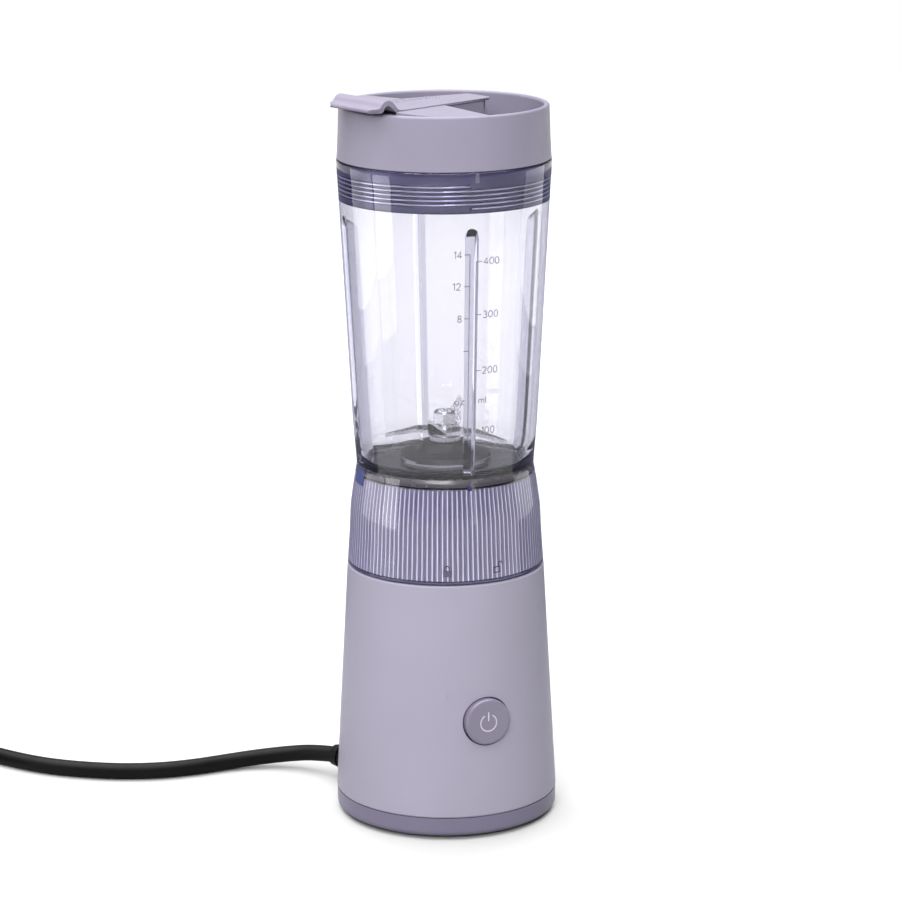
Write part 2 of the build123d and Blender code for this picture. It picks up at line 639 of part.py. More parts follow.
def flip_cap():
    """Tongue, arched hump over the rim, lip and tab, and the hinge knuckle under the far end."""
    half = -TONGUE[0][0]
    top = TONGUE_TOP
    under = top - TONGUE_H
    plate = tongue(0, under, top)
    plate = fillet([e for e in plate.edges().filter_by(Axis.Z) if e.center().Y > 10], 3.0)
    profile = [(-34.6, under), (-36.4, 297.4), (-38.4, 299.7), (-40.4, 300.7), (-42.0, 299.8),
               (-43.2, 298.2), (-47.6, 297.9), (-47.6, 299.5), (-44.4, 300.0), (-42.6, 301.9),
               (-40.4, 302.6), (-38.0, 301.7), (-36.2, 299.4), (-34.8, top), (-32.0, top), (-32.0, under)]
    arch = extrude(Plane.YZ * make_face(Polyline(*profile, close=True)), half, both=True)
    corners = [e for e in arch.edges().filter_by(Axis.Z) if e.center().Y < -47]
    cap = plate + fillet(corners, 3.8)
    cap = cap + along_x(3.1, -KNUCKLE_HALF, KNUCKLE_HALF, HINGE_Y, HINGE_Z)
    cap = cap + block(-KNUCKLE_HALF, KNUCKLE_HALF, HINGE_Y - 2.6, HINGE_Y + 2.6, HINGE_Z, under + 0.5)
    cap = cap - along_x(PIN_R + 0.08, -5, 5, HINGE_Y, HINGE_Z)
    return Rot(0, 0, LID_AZ) * cap


def spout_seal():
    """Silicone stopper under the flip cap, hollow, clear of the opening's wall."""
    stopper = spout_slot(-0.35, DECK_Z - 3.0, 295.6) - spout_slot(-1.8, DECK_Z - 4.0, DECK_Z - 0.6)
    return Rot(0, 0, LID_AZ) * stopper


# ---- mains lead ---------------------------------------------------------------------------------------
EXIT_R = 59.6           # outer end of the strain relief
FLOOR_CORD = CORD_D / 2
ROUTE = [(-31.3, 50.7, 9.5), (-37.7, 61.0, 8.2), (-47.1, 69.3, 6.0), (-58.7, 74.5, 4.4),
         (-72.8, 76.2, FLOOR_CORD), (-87.6, 75.2, FLOOR_CORD), (-104.6, 77.0, FLOOR_CORD),
         (-123.2, 84.4, FLOOR_CORD), (-141.6, 97.4, FLOOR_CORD), (-152.8, 109.7, FLOOR_CORD),
         (-163.2, 125.3, FLOOR_CORD), (-172.6, 141.4, FLOOR_CORD), (-182.3, 156.5, FLOOR_CORD)]
COIL_X, COIL_Y = -218.9, 133.0
COIL_IN, COIL_OUT = 33.0, 47.0
TAIL = [(-262.4, 133.0, 10.5), (-262.2, 118.6, 10.3), (-260.4, 103.5, 8.7), (-257.2, 88.0, 6.8),
        (-254.4, 73.5, 6.0)]
PLUG_LEAD = (0.190, -0.982)     # direction in which the plug points
PLUG_W, PLUG_T = 24.0, 12.0
PLUG_FACE = -32.0               # face the blades stand out of, from where the cord enters
BLADE_GAP = 12.7                # between the middles of the two flat blades


def unit(a, b):
    """Vector from one point to another and its length."""
    step = Vector(*b) - Vector(*a)
    return step, step.length


def corner_radii(route):
    """For each corner: 0.45 of the shorter run, over the tangent of half the turn."""
    radii = []
    for before, here, after in zip(route, route[1:], route[2:]):
        into, run_in = unit(before, here)
        out, run_out = unit(here, after)
        radii.append(0.45 * min(run_in, run_out) / tan(radians(into.get_angle(out)) / 2))
    return radii


def corded(route, diameter, name=None):
    """Tube of straight runs joined by tangent arcs."""
    radii = corner_radii(route)
    path = FilletPolyline(*route, radius=radii)
    tube = sweep(Plane(origin=path @ 0, z_dir=path % 0) * Circle(diameter / 2), path=path)
    if name:
        expected = pi * diameter ** 2 / 4 * path.length
        print(name, "radii", [round(r, 1) for r in radii])
        print(name, "length", round(path.length, 1), "volume over section x length",
              round(tube.volume / expected, 4))
    return tube


def power_cord():
    return corded(ROUTE, CORD_D, "power_cord")


def cord_tail():
    return corded(TAIL, CORD_D, "cord_tail")


def cord_coil():
    return ring(COIL_IN, COIL_OUT, 0, 2 * CORD_D, COIL_X, COIL_Y)


def plug_place():
    """Place of the plug: local -Y runs along the plug, starting where the cord enters it."""
    x, y, z = TAIL[-1]
    azimuth = degrees(atan2(PLUG_LEAD[0], -PLUG_LEAD[1]))
    return Pos(x, y, z) * Rot(0, 0, azimuth)


def plug_body():
    """Moulded two-blade plug with a tapered neck."""
    neck = Pos(0, -5, 0) * Rot(90, 0, 0) * Cone(4.4, 5.6, 10)
    grip = block(-PLUG_W / 2, PLUG_W / 2, PLUG_FACE, -9.5, -PLUG_T / 2, PLUG_T / 2)
    grip = fillet(grip.edges().filter_by(Axis.Z).group_by(Axis.Y)[-1], 6.0)
    grip = fillet(grip.edges().filter_by(Axis.Y), 2.0)
    return plug_place() * (neck + grip)


def plug_blades():
    blade = block(-0.75, 0.75, PLUG_FACE - 16.5, PLUG_FACE, -3.15, 3.15)
    return solids([plug_place() * Pos(side * BLADE_GAP / 2, 0, 0) * blade for side in (-1, 1)])


# ---- writing ------------------------------------------------------------------------------------------
PARTS = {
    "base_housing": base_housing, "bottom_cover": bottom_cover, "rubber_feet": rubber_feet,
    "cover_screws": cover_screws, "stator_core": stator_core, "field_coils": field_coils,
    "upper_bracket": upper_bracket, "lower_bracket": lower_bracket, "stator_bolts": stator_bolts,
    "motor_screws": motor_screws, "rubber_mounts": rubber_mounts,
    "upper_bearing": lambda: bearing(UPPER_Z, HUB_UP),
    "lower_bearing": lambda: bearing(HUB_DOWN, LOWER_Z + BRACKET_H),
    "brush_holders": brush_holders, "carbon_brushes": carbon_brushes, "brush_springs": brush_springs,
    "neck_seal": neck_seal, "control_board": control_board, "board_screws": board_screws,
    "push_switch": push_switch, "strain_relief": strain_relief, "cord_jacket_end": cord_jacket_end,
    "cord_clamp": cord_clamp, "clamp_screws": clamp_screws, "internal_leads": internal_leads,
    "power_button": power_button, "switch_plunger": switch_plunger,
    "motor_shaft": motor_shaft, "armature_core": armature_core, "armature_windings": armature_windings,
    "commutator": commutator, "cooling_fan": cooling_fan, "drive_coupler": drive_coupler,
    "blade_housing": blade_housing, "blade_bushing": blade_bushing, "floor_gasket": floor_gasket,
    "housing_nut": housing_nut, "blade_shaft": blade_shaft, "driven_coupler": driven_coupler,
    "thrust_washer": thrust_washer, "lower_blade": lower_blade, "upper_blade": upper_blade,
    "blade_washer": blade_washer, "blade_nut": blade_nut, "jar_cup": jar_cup, "jar_skirt": jar_skirt,
    "lid_gasket": lid_gasket, "lid_body": lid_body, "lid_plug": lid_plug, "flap_pin": flap_pin,
    "flip_cap": flip_cap, "spout_seal": spout_seal,
    "power_cord": power_cord, "cord_coil": cord_coil, "cord_tail": cord_tail,
    "plug_body": plug_body, "plug_blades": plug_blades,
}


def main():
    os.makedirs("parts", exist_ok=True)
    for name, make in PARTS.items():
        shape = make()
        pieces = shape.solids()
        export_step(pieces[0] if len(pieces) == 1 else Compound(list(pieces)), f"parts/{name}.step")


main()
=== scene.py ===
"""Looks of a personal countertop blender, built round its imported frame.

Shapes are given in millimetres and scaled to metres as each mesh is made. An azimuth is in degrees about Z
from the front, which is -Y, towards +X; only the room's azimuths start at the camera's side instead.
"""
import json
from math import atan2, ceil, cos, degrees, pi, radians, sin, sqrt, tan

import bmesh
import bpy
from mathutils import Matrix, Vector


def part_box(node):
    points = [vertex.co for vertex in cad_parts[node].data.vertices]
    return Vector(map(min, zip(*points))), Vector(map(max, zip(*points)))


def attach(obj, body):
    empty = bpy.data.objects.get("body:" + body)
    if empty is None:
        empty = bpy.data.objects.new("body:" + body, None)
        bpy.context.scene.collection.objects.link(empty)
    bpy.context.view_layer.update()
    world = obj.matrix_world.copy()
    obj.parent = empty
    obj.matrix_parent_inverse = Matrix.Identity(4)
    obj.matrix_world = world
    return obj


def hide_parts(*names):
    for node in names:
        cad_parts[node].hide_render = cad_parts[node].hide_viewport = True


MM = 0.001
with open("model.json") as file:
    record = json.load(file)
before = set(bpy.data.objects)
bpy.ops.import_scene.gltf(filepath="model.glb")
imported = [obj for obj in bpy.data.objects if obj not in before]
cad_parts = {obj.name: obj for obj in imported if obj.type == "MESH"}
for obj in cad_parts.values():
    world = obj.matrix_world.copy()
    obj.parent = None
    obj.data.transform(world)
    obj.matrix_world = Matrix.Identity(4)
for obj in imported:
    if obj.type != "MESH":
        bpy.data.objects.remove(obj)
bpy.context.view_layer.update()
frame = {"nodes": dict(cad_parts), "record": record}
nodes = frame["nodes"]


def span(node):
    """Lowest and highest corner of a CAD node, in millimetres."""
    low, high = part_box(node)
    return low / MM, high / MM


# ---- camera -------------------------------------------------------------------------------------------
VIEW_AZ = -22.3             # the camera stands this far round from the front
VIEW_DOWN = 13.66           # degrees it looks below the horizon
VIEW_ROLL = -0.20
VIEW_ACROSS, VIEW_BACK, VIEW_UP = 2.0, 1304.0, 470.3    # its place from the origin
LENS, SENSOR = 130.3, 36
NEAREST, FARTHEST = 0.05, 60    # metres
RIGHT = Vector((cos(radians(VIEW_AZ)), sin(radians(VIEW_AZ)), 0))
AWAY = Vector((-sin(radians(VIEW_AZ)), cos(radians(VIEW_AZ)), 0))
UP = Vector((0, 0, 1))


def make_camera():
    data = bpy.data.cameras.new("camera")
    data.lens = LENS
    data.sensor_width = SENSOR
    data.clip_start, data.clip_end = NEAREST, FARTHEST
    camera = bpy.data.objects.new("camera", data)
    bpy.context.scene.collection.objects.link(camera)
    down, roll = radians(VIEW_DOWN), radians(VIEW_ROLL)
    ahead = AWAY * cos(down) - UP * sin(down)
    above = AWAY * sin(down) + UP * cos(down)
    side = RIGHT * cos(roll) + above * sin(roll)
    above = above * cos(roll) - RIGHT * sin(roll)
    place = (RIGHT * VIEW_ACROSS - AWAY * VIEW_BACK + UP * VIEW_UP) * MM
    turn = Matrix((side, above, -ahead)).transposed().to_4x4()
    camera.matrix_world = Matrix.Translation(place) @ turn
    bpy.context.scene.camera = camera


make_camera()


# ---- materials ----------------------------------------------------------------------------------------
def srgb(red, green, blue):
    """Linear colour from an 8-bit display colour."""
    def linear(value):
        part = value / 255
        return part / 12.92 if part <= 0.04045 else ((part + 0.055) / 1.055) ** 2.4
    return (linear(red), linear(green), linear(blue), 1.0)


class Paint:
    """A node material: the shader's own sockets set directly, and textures added in object space."""

    def __init__(self, name, colour, roughness, **sockets):
        self.material = bpy.data.materials.new(name)
        self.material.use_nodes = True
        self.tree = self.material.node_tree
        self.shader = self.tree.nodes["Principled BSDF"]
        self.shader.inputs["Base Color"].default_value = colour
        self.shader.inputs["Roughness"].default_value = roughness
        for socket, value in sockets.items():
            self.shader.inputs[socket.replace("_", " ")].default_value = value
        self.places = self.tree.nodes.new("ShaderNodeTexCoord").outputs["Object"]

    def node(self, kind):
        return self.tree.nodes.new(kind)

    def link(self, source, target):
        self.tree.links.new(source, target)

    def noise(self, scale, detail=3.0, stretch=(1, 1, 1)):
        """Noise at a scale in features per metre."""
        mapping = self.node("ShaderNodeMapping")
        mapping.inputs["Scale"].default_value = stretch
        texture = self.node("ShaderNodeTexNoise")
        texture.inputs["Scale"].default_value = scale
        texture.inputs["Detail"].default_value = detail
        self.link(self.places, mapping.inputs["Vector"])
        self.link(mapping.outputs["Vector"], texture.inputs["Vector"])
        return texture.outputs["Fac"]

    def tinted(self, source, low, high):
        """Lets a texture move the colour between two tones."""
        made = self.node("ShaderNodeValToRGB")
        for element, position, colour in zip(made.color_ramp.elements, (0.35, 0.65), (low, high)):
            element.position = position
            element.color = colour
        self.link(source, made.inputs["Fac"])
        self.link(made.outputs["Color"], self.shader.inputs["Base Color"])

    def varied(self, source, low, high):
        """Lets a texture move the roughness between two values."""
        made = self.node("ShaderNodeMapRange")
        made.inputs["From Min"].default_value = 0.3
        made.inputs["From Max"].default_value = 0.7
        made.inputs["To Min"].default_value = low
        made.inputs["To Max"].default_value = high
        self.link(source, made.inputs["Value"])
        self.link(made.outputs["Result"], self.shader.inputs["Roughness"])

    def bump(self, source, height_mm, strength):
        """Adds relief of a height in millimetres."""
        made = self.node("ShaderNodeBump")
        made.inputs["Distance"].default_value = height_mm * MM
        made.inputs["Strength"].default_value = strength
        self.link(source, made.inputs["Height"])
        self.link(made.outputs["Normal"], self.shader.inputs["Normal"])


def shade(colour, factor):
    """A colour made darker or lighter."""
    return tuple(c * factor for c in colour[:3]) + (1.0,)


def moulded(name, colour, roughness, grain_mm=0.02, gloss=0.3):
    """Satin moulded plastic: fine spark-eroded grain and a slow change of tone."""
    paint = Paint(name, colour, roughness, IOR=1.46, Specular_IOR_Level=gloss)
    paint.tinted(paint.noise(22.0, 2.0), shade(colour, 0.975), shade(colour, 1.02))
    paint.varied(paint.noise(260.0), roughness - 0.03, roughness + 0.04)
    paint.bump(paint.noise(1500.0, 2.0), grain_mm, 0.5)
    return paint.material


def clear(name, colour, roughness, depth_colour, depth_density, **sockets):
    """Clear or tinted moulded plastic with a faint flow in its surface, darker the deeper the light's path
    in it (density per metre)."""
    paint = Paint(name, colour, roughness, IOR=1.52, Transmission_Weight=1.0, **sockets)
    paint.varied(paint.noise(90.0), roughness, roughness + 0.02)
    paint.bump(paint.noise(45.0, 1.0), 0.02, 0.35)
    absorbing = paint.node("ShaderNodeVolumeAbsorption")
    absorbing.inputs["Color"].default_value = depth_colour
    absorbing.inputs["Density"].default_value = depth_density
    paint.link(absorbing.outputs["Volume"], paint.tree.nodes["Material Output"].inputs["Volume"])
    return paint.material


def metal(name, colour, roughness, stretch=(1, 1, 1), scale=900.0):
    """Metal with a brushed or turned grain."""
    paint = Paint(name, colour, roughness, Metallic=1.0)
    grain = paint.noise(scale, 3.0, stretch)
    paint.tinted(grain, shade(colour, 0.93), shade(colour, 1.04))
    paint.varied(grain, roughness - 0.05, roughness + 0.08)
    paint.bump(grain, 0.01, 0.4)
    return paint.material


def rubbery(name, colour, roughness, **sockets):
    """Matt rubber, silicone or pressed powder, finely mottled."""
    paint = Paint(name, colour, roughness, IOR=1.45, **sockets)
    paint.tinted(paint.noise(60.0), shade(colour, 0.85), shade(colour, 1.15))
    paint.varied(paint.noise(500.0), roughness - 0.06, roughness + 0.08)
    paint.bump(paint.noise(1400.0, 2.0), 0.015, 0.5)
    return paint.material


def milky(name, colour, roughness, through_light, sheen=0.0):
    """Cloudy tinted plastic that passes part of the light; sheen makes it pearly."""
    paint = Paint(name, colour, roughness, IOR=1.5, Transmission_Weight=through_light, Metallic=sheen)
    paint.tinted(paint.noise(30.0, 2.0), shade(colour, 0.96), shade(colour, 1.03))
    paint.varied(paint.noise(180.0), roughness - 0.02, roughness + 0.05)
    paint.bump(paint.noise(700.0, 2.0), 0.01, 0.4)
    return paint.material


def printed(name, colour):
    """Screen-printed ink, a little uneven in its cover."""
    paint = Paint(name, colour, 0.5)
    paint.tinted(paint.noise(2500.0), shade(colour, 0.85), shade(colour, 1.2))
    paint.bump(paint.noise(3000.0), 0.01, 0.4)
    return paint.material


MATERIALS = {
    "housing_plastic": moulded("lavender_shell", srgb(119, 116, 129), 0.42, 0.02, 0.1),
    "lid_plastic": moulded("lavender_lid", srgb(107, 103, 117), 0.33, 0.02, 0.22),
    "trim_plastic": moulded("plum_trim", srgb(87, 83, 100), 0.36, 0.02, 0.25),
    "button_plastic": moulded("plum_button", srgb(93, 88, 104), 0.22, 0.008, 0.5),
    "clear_plastic": clear("clear_cup", (0.985, 0.98, 0.985, 1.0), 0.012, (0.30, 0.30, 0.46, 1.0), 135.0,
                           Specular_IOR_Level=0.3),
    "tinted_plastic": clear("violet_skirt", (0.94, 0.93, 0.98, 1.0), 0.07, (0.40, 0.37, 0.66, 1.0), 95.0,
                            Specular_IOR_Level=0.2),
    "foot_rubber": rubbery("dark_rubber", srgb(86, 78, 108), 0.6),
    "silicone": rubbery("grey_silicone", srgb(200, 198, 208), 0.45),
    "blade_steel": metal("brushed_blade", srgb(205, 205, 208), 0.24, (1, 1, 8)),
    "plain_steel": metal("plated_steel", srgb(190, 190, 194), 0.3),
    "lamination_steel": metal("laminated_steel", srgb(120, 120, 126), 0.42, (0.01, 0.01, 1), 1400.0),
    "copper_wire": metal("enamelled_copper", srgb(184, 105, 62), 0.34),
    "bearing_brass": metal("machined_brass", srgb(198, 168, 105), 0.3),
    "carbon": rubbery("pressed_carbon", srgb(45, 45, 46), 0.55),
    "black_plastic": moulded("black_glass_filled", srgb(46, 46, 50), 0.45),
    "coupler_plastic": moulded("tough_black", srgb(58, 58, 64), 0.4),
    "board_laminate": moulded("green_laminate", srgb(38, 110, 62), 0.35),
    "lead_insulation": rubbery("blue_insulation", srgb(40, 44, 120), 0.4),
    "cord_rubber": rubbery("black_cord", srgb(9, 9, 10), 0.42, Specular_IOR_Level=0.1),
}
RIB_VALLEY = milky("rib_valley", srgb(127, 123, 154), 0.3, 0.25)
# pale material for the bright line along each rib's crest and at the ribs' ends: a painted highlight
RIB_PAINTED_HIGHLIGHT = milky("rib_painted_highlight", srgb(234, 231, 246), 0.2, 0.1)
COLLAR = milky("glossy_collar", srgb(76, 72, 110), 0.2, 0.0, 0.5)
# darker material painted into the thread's grooves and along the plain land below the thread: painted shade
COLLAR_PAINTED_SHADE = milky("collar_painted_shade", srgb(58, 57, 98), 0.14, 0.1, 0.2)
# lighter, pearly material on the thread's ridge tops: a painted highlight
COLLAR_PAINTED_HIGHLIGHT = milky("collar_painted_highlight", srgb(180, 176, 216), 0.16, 0.0, 0.7)
HEM = milky("skirt_hem", srgb(84, 80, 140), 0.15, 0.25)
CLOUDED = milky("clouded_floor", srgb(94, 87, 99), 0.25, 0.3)
GREY_INK = printed("grey_ink", srgb(92, 90, 98))
PALE_INK = printed("pale_ink", srgb(150, 145, 156))
DARK_INK = printed("dark_ink", srgb(62, 58, 74))
BLUE_SHADE = milky("blue_shade", srgb(62, 74, 142), 0.15, 0.3)


def dress(obj, slot):
    """Gives an object the finish of one of the record's material slots."""
    obj.data.materials.clear()
    obj.data.materials.append(MATERIALS[slot])


for part in frame["record"]["subparts"]:
    dress(nodes[part["node"]], part["material_slot"])


# ---- mains cord ---------------------------------------------------------------------------------------
CORD_D = 0.007
CORD_EXIT = (-0.0313, 0.0507, 0.0095)
ON_FLOOR = CORD_D / 2
ROUTE = [CORD_EXIT, (-0.0377, 0.0610, 0.0082), (-0.0471, 0.0693, 0.0060), (-0.0587, 0.0745, 0.0044),
         (-0.0728, 0.0762, ON_FLOOR), (-0.0876, 0.0752, ON_FLOOR), (-0.1046, 0.0770, ON_FLOOR),
         (-0.1232, 0.0844, ON_FLOOR), (-0.1416, 0.0974, ON_FLOOR), (-0.1528, 0.1097, ON_FLOOR),
         (-0.1632, 0.1253, ON_FLOOR), (-0.1726, 0.1414, ON_FLOOR)]
TAIL = [(-0.2622, 0.1186, 0.0103), (-0.2604, 0.1035, 0.0087), (-0.2572, 0.0880, 0.0068),
        (-0.2544, 0.0735, 0.0060)]
COIL_X, COIL_Y = -0.2189, 0.1330
COIL_WIDE, COIL_NARROW = 0.0435, 0.0365     # the cord's middle in the outer and inner turns
COIL_START, COIL_END = 32.7, 1260.0         # degrees about the coil's middle, from +X
COIL_STEP = 22.3                            # degrees from one point to the next
TURN_INWARD = (302.7, 392.7)                # where the cord passes from the outer turn to the inner
CLIMB = (612.7, 722.7)                      # where it climbs onto the second layer
WIDEN = (942.7, 1052.7)                     # where it passes outward again
POLYGON = cos(radians(COIL_STEP / 2)) ** 0.9    # the curve runs this much inside its control points


def eased(value, start, end):
    """0 before start, 1 after end, smooth between."""
    part = min(1.0, max(0.0, (value - start) / (end - start)))
    return part * part * (3 - 2 * part)


def coil_point(angle):
    """Control point of the cord's curve at an angle of the coil."""
    radius = COIL_WIDE - (COIL_WIDE - COIL_NARROW) * (eased(angle, *TURN_INWARD) - eased(angle, *WIDEN))
    reach = radius / POLYGON
    height = ON_FLOOR + CORD_D * eased(angle, *CLIMB)
    return (COIL_X + reach * cos(radians(angle)), COIL_Y + reach * sin(radians(angle)), height)


def mains_cord():
    """The whole cord as one curve: out of the base, over the floor, through the coil and to the plug."""
    steps = round((COIL_END - COIL_START) / COIL_STEP)
    turns = [coil_point(COIL_START + i * COIL_STEP) for i in range(steps + 1)]
    points = ROUTE + turns + TAIL
    curve = bpy.data.curves.new("mains_cord", "CURVE")
    curve.dimensions = "3D"
    spline = curve.splines.new("NURBS")
    spline.points.add(len(points) - 1)
    for target, point in zip(spline.points, points):
        target.co = (*point, 1.0)
    spline.order_u = 3
    spline.use_endpoint_u = True
    spline.resolution_u = 8     # segments between two points
    curve.bevel_depth = CORD_D / 2
    curve.bevel_resolution = 6
    curve.use_fill_caps = True
    cord = bpy.data.objects.new("mains_cord", curve)
    bpy.context.scene.collection.objects.link(cord)
    curve.materials.append(MATERIALS["cord_rubber"])
    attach(cord, "base")
    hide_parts("power_cord", "cord_coil", "cord_tail")


mains_cord()


# ---- mesh helpers -------------------------------------------------------------------------------------
SHARP = 32.0                # an edge that turns by more degrees than this is kept sharp


def mesh_object(name, points, faces, body, slot, sharp=SHARP, replaces=(), finish=None):
    """Smooth shaded piece from points in millimetres.  A finish other than the slot's own may be given."""
    mesh = bpy.data.meshes.new(name)
    mesh.from_pydata([Vector(p) * MM for p in points], [], faces)
    work = bmesh.new()
    work.from_mesh(mesh)
    bmesh.ops.remove_doubles(work, verts=work.verts, dist=1e-7)
    bmesh.ops.recalc_face_normals(work, faces=work.faces)
    work.to_mesh(mesh)
    work.free()
    mesh.shade_smooth()
    mesh.set_sharp_from_angle(angle=radians(sharp))
    obj = bpy.data.objects.new(name, mesh)
    bpy.context.scene.collection.objects.link(obj)
    dress(obj, slot)
    if finish:
        mesh.materials[0] = finish
    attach(obj, body)
    if replaces:
        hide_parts(*replaces)
    return obj


def polar(radius, azimuth, height):
    return (radius * sin(radians(azimuth)), -radius * cos(radians(azimuth)), height)


def band(a, b, count):
    """Faces between two rings of points, whose first points are a and b."""
    return [(a + i, a + (i + 1) % count, b + (i + 1) % count, b + i) for i in range(count)]


def layered(rings, count, first=0):
    """Faces of a solid made of rings of points in a row, closed at both ends."""
    faces = []
    for start in range(first, first + (rings - 1) * count, count):
        faces += band(start, start + count, count)
    last = first + (rings - 1) * count
    return faces + [tuple(range(first, first + count)), tuple(range(last, last + count))]


def lathe(name, outline, azimuths, body, slot, radius_at=None, replaces=(), sharp=SHARP, finish=None):
    """Closed outline of (radius, height) turned about Z; radius_at(i, radius, height, azimuth) may move a
    point in or out."""
    points = []
    for azimuth in azimuths:
        for i, (radius, height) in enumerate(outline):
            moved = radius_at(i, radius, height, azimuth) if radius_at else radius
            points.append(polar(moved, azimuth, height))
    count = len(outline)
    faces = []
    for j in range(len(azimuths)):
        faces += band(j * count, (j + 1) % len(azimuths) * count, count)
    return mesh_object(name, points, faces, body, slot, sharp, replaces, finish)


def even_azimuths(count):
    return [360 * i / count for i in range(count)]


def rounded(corners, steps=6):
    """Outline with its corners rounded: each corner is (radius, height) or (radius, height, rounding)."""
    outline = []
    for i, corner in enumerate(corners):
        if len(corner) == 2 or corner[2] == 0:
            outline.append((corner[0], corner[1]))
            continue
        here = Vector(corner[:2])
        before = (Vector(corners[i - 1][:2]) - here).normalized()
        after = (Vector(corners[(i + 1) % len(corners)][:2]) - here).normalized()
        half = before.angle(after) / 2
        reach = corner[2] / tan(half)
        middle = here + (before + after).normalized() * corner[2] / sin(half)
        start, end = here + before * reach - middle, here + after * reach - middle
        turn = start.angle_signed(end)
        for k in range(steps + 1):
            outline.append(tuple(middle + Matrix.Rotation(-turn * k / steps, 2) @ start))
    return outline


def through(knots, steps=6):
    """Smooth curve through knots, with the ends' own directions."""
    points = []
    for i in range(len(knots) - 1):
        a, b = Vector(knots[i]), Vector(knots[i + 1])
        leave = (b - Vector(knots[i - 1])) / 2 if i else b - a
        arrive = (Vector(knots[i + 2]) - a) / 2 if i + 2 < len(knots) else b - a
        for k in range(steps):
            t = k / steps
            points.append(tuple(a * (2 * t**3 - 3 * t**2 + 1) + leave * (t**3 - 2 * t**2 + t)
                                + b * (3 * t**2 - 2 * t**3) + arrive * (t**3 - t**2)))
    return points + [tuple(knots[-1])]


# ---- jar ----------------------------------------------------------------------------------------------
JAR_LOW, JAR_HIGH = span("jar_cup")
SKIRT_LOW, SKIRT_HIGH = span("jar_skirt")
RIM_R = JAR_HIGH.x
RIM_Z = JAR_HIGH.z
BAND_Z = JAR_LOW.z
BAND_R, BAND_IN = 37.03, 33.4   # the cup's radii at its lower edge, where the skirt meets it
JAR_WALL = 2.4              # thickness of the side
CUP_FLOOR_Z = 150.0         # inside
FLOOR_CORNER = 4.5          # rounding between floor and wall
HOLE_R, UNDER_Z = 13.8, 147.0   # the blade seat's hole and the underside of the floor
JAR_AZ = -6.6               # azimuth of the fin that carries the scale
FINS = 4
FIN_HALF = 2.1              # half a fin's thickness
FIN_REACH = 4.0             # how far a fin stands in
FIN_TOP = 252.5
BULGE = (38.0, 167.0)       # where the tapered side starts
SIDE_TOP = (RIM_R - 0.15, 268.0)


def side_radius(height):
    """Outer radius of the tapered side at a height."""
    return BULGE[0] + (SIDE_TOP[0] - BULGE[0]) * (height - BULGE[1]) / (SIDE_TOP[1] - BULGE[1])


def fin_azimuths():
    """Even steps, with finer ones across each fin."""
    across = (-5.6, -4.4, -3.9, -3.5, -3.1, -2.7, -2.2, -1.1, 0, 1.1, 2.2, 2.7, 3.1, 3.5, 3.9, 4.4, 5.6)
    found = []
    for fin in range(FINS):
        middle = JAR_AZ + 90 * fin
        found += [middle + a for a in across]
        found += [middle + 45 + 2.2 * k for k in range(-17, 18)]
    return sorted(found)


def cup_outline():
    """Closed outline of the cup's wall and floor: up the outside, over the rim and down the inside."""
    outer = through([(BAND_R, BAND_Z), (36.6, 149.3), (37.12, 156.5), BULGE])
    rim = rounded([(RIM_R, 269.5), (RIM_R, RIM_Z, 0.6), (41.5, RIM_Z, 0.5), (41.1, 273.2)], 4)
    inner_low = (36.85 - JAR_WALL, 156.0)
    inner = [(side_radius(z) - JAR_WALL, z) for z in (264, 258, 253.5, 253, 252.5, 252, 251.4, 250.7, 250,
                                                      249, 248, 240, 220, 200, 185)]
    inner += through([(BULGE[0] - JAR_WALL, BULGE[1]), (37.45 - JAR_WALL, 160.0), inner_low])
    floor_arc = [(inner_low[0] - FLOOR_CORNER + FLOOR_CORNER * cos(radians(a)),
                  CUP_FLOOR_Z + FLOOR_CORNER - FLOOR_CORNER * sin(radians(a))) for a in range(15, 91, 15)]
    under = [(HOLE_R, CUP_FLOOR_Z), (HOLE_R, UNDER_Z), (33.1, UNDER_Z), (BAND_IN, BAND_Z)]
    return outer + [SIDE_TOP] + rim + inner + floor_arc + under


def fin_depth(height, azimuth):
    """How far a fin stands in from the inner wall: it narrows and runs out at its top."""
    off = abs((azimuth - JAR_AZ + 45) % 90 - 45)
    half = degrees(FIN_HALF / BULGE[0]) * sqrt(max(0.0, min(1.0, (FIN_TOP + 1.0 - height) / 5.0)))
    flank = 1 - eased(off, half - 0.5, half + 0.7)
    crown = 1 - eased(height, FIN_TOP - 4.0, FIN_TOP + 0.6)
    root = eased(height, CUP_FLOOR_Z, CUP_FLOOR_Z + 3.0)
    return FIN_REACH * flank * crown * root


def clear_cup():
    """The clear cup in one piece with its inner fins."""
    outline = cup_outline()
    rim = outline.index(SIDE_TOP)
    first = next(i for i, point in enumerate(outline) if i > rim and point[1] < SIDE_TOP[1])
    last = len(outline) - 5     # the four points of the cup's underside stay where they are

    def radius_at(i, radius, height, azimuth):
        if first <= i <= last and height > CUP_FLOOR_Z + 0.1:
            return radius - fin_depth(height, azimuth)
        return radius

    lathe("clear_cup", outline, fin_azimuths(), "jar", "clear_plastic", radius_at, ["jar_cup"])


RIBS = 120
RIB_POINTS = 10             # points across each rib
RIB_CREST_HALF = 0.12       # half the flat crest, as a share of the step from rib to rib
RIB_SET = 0.75              # depth of the valleys below the skirt's surface
RIB_THICK = 1.1             # thickness at a valley
RIB_RISE = 0.4              # height of a crest over the valleys
SHELL = 1.1                 # outer thickness of the skirt, into which the ribs are set
SKIRT_SIDE = through([(40.6, 107.7), (39.75, 120.0), (39.2, 131.0), (37.9, 140.6), (BAND_R, BAND_Z)], 5)


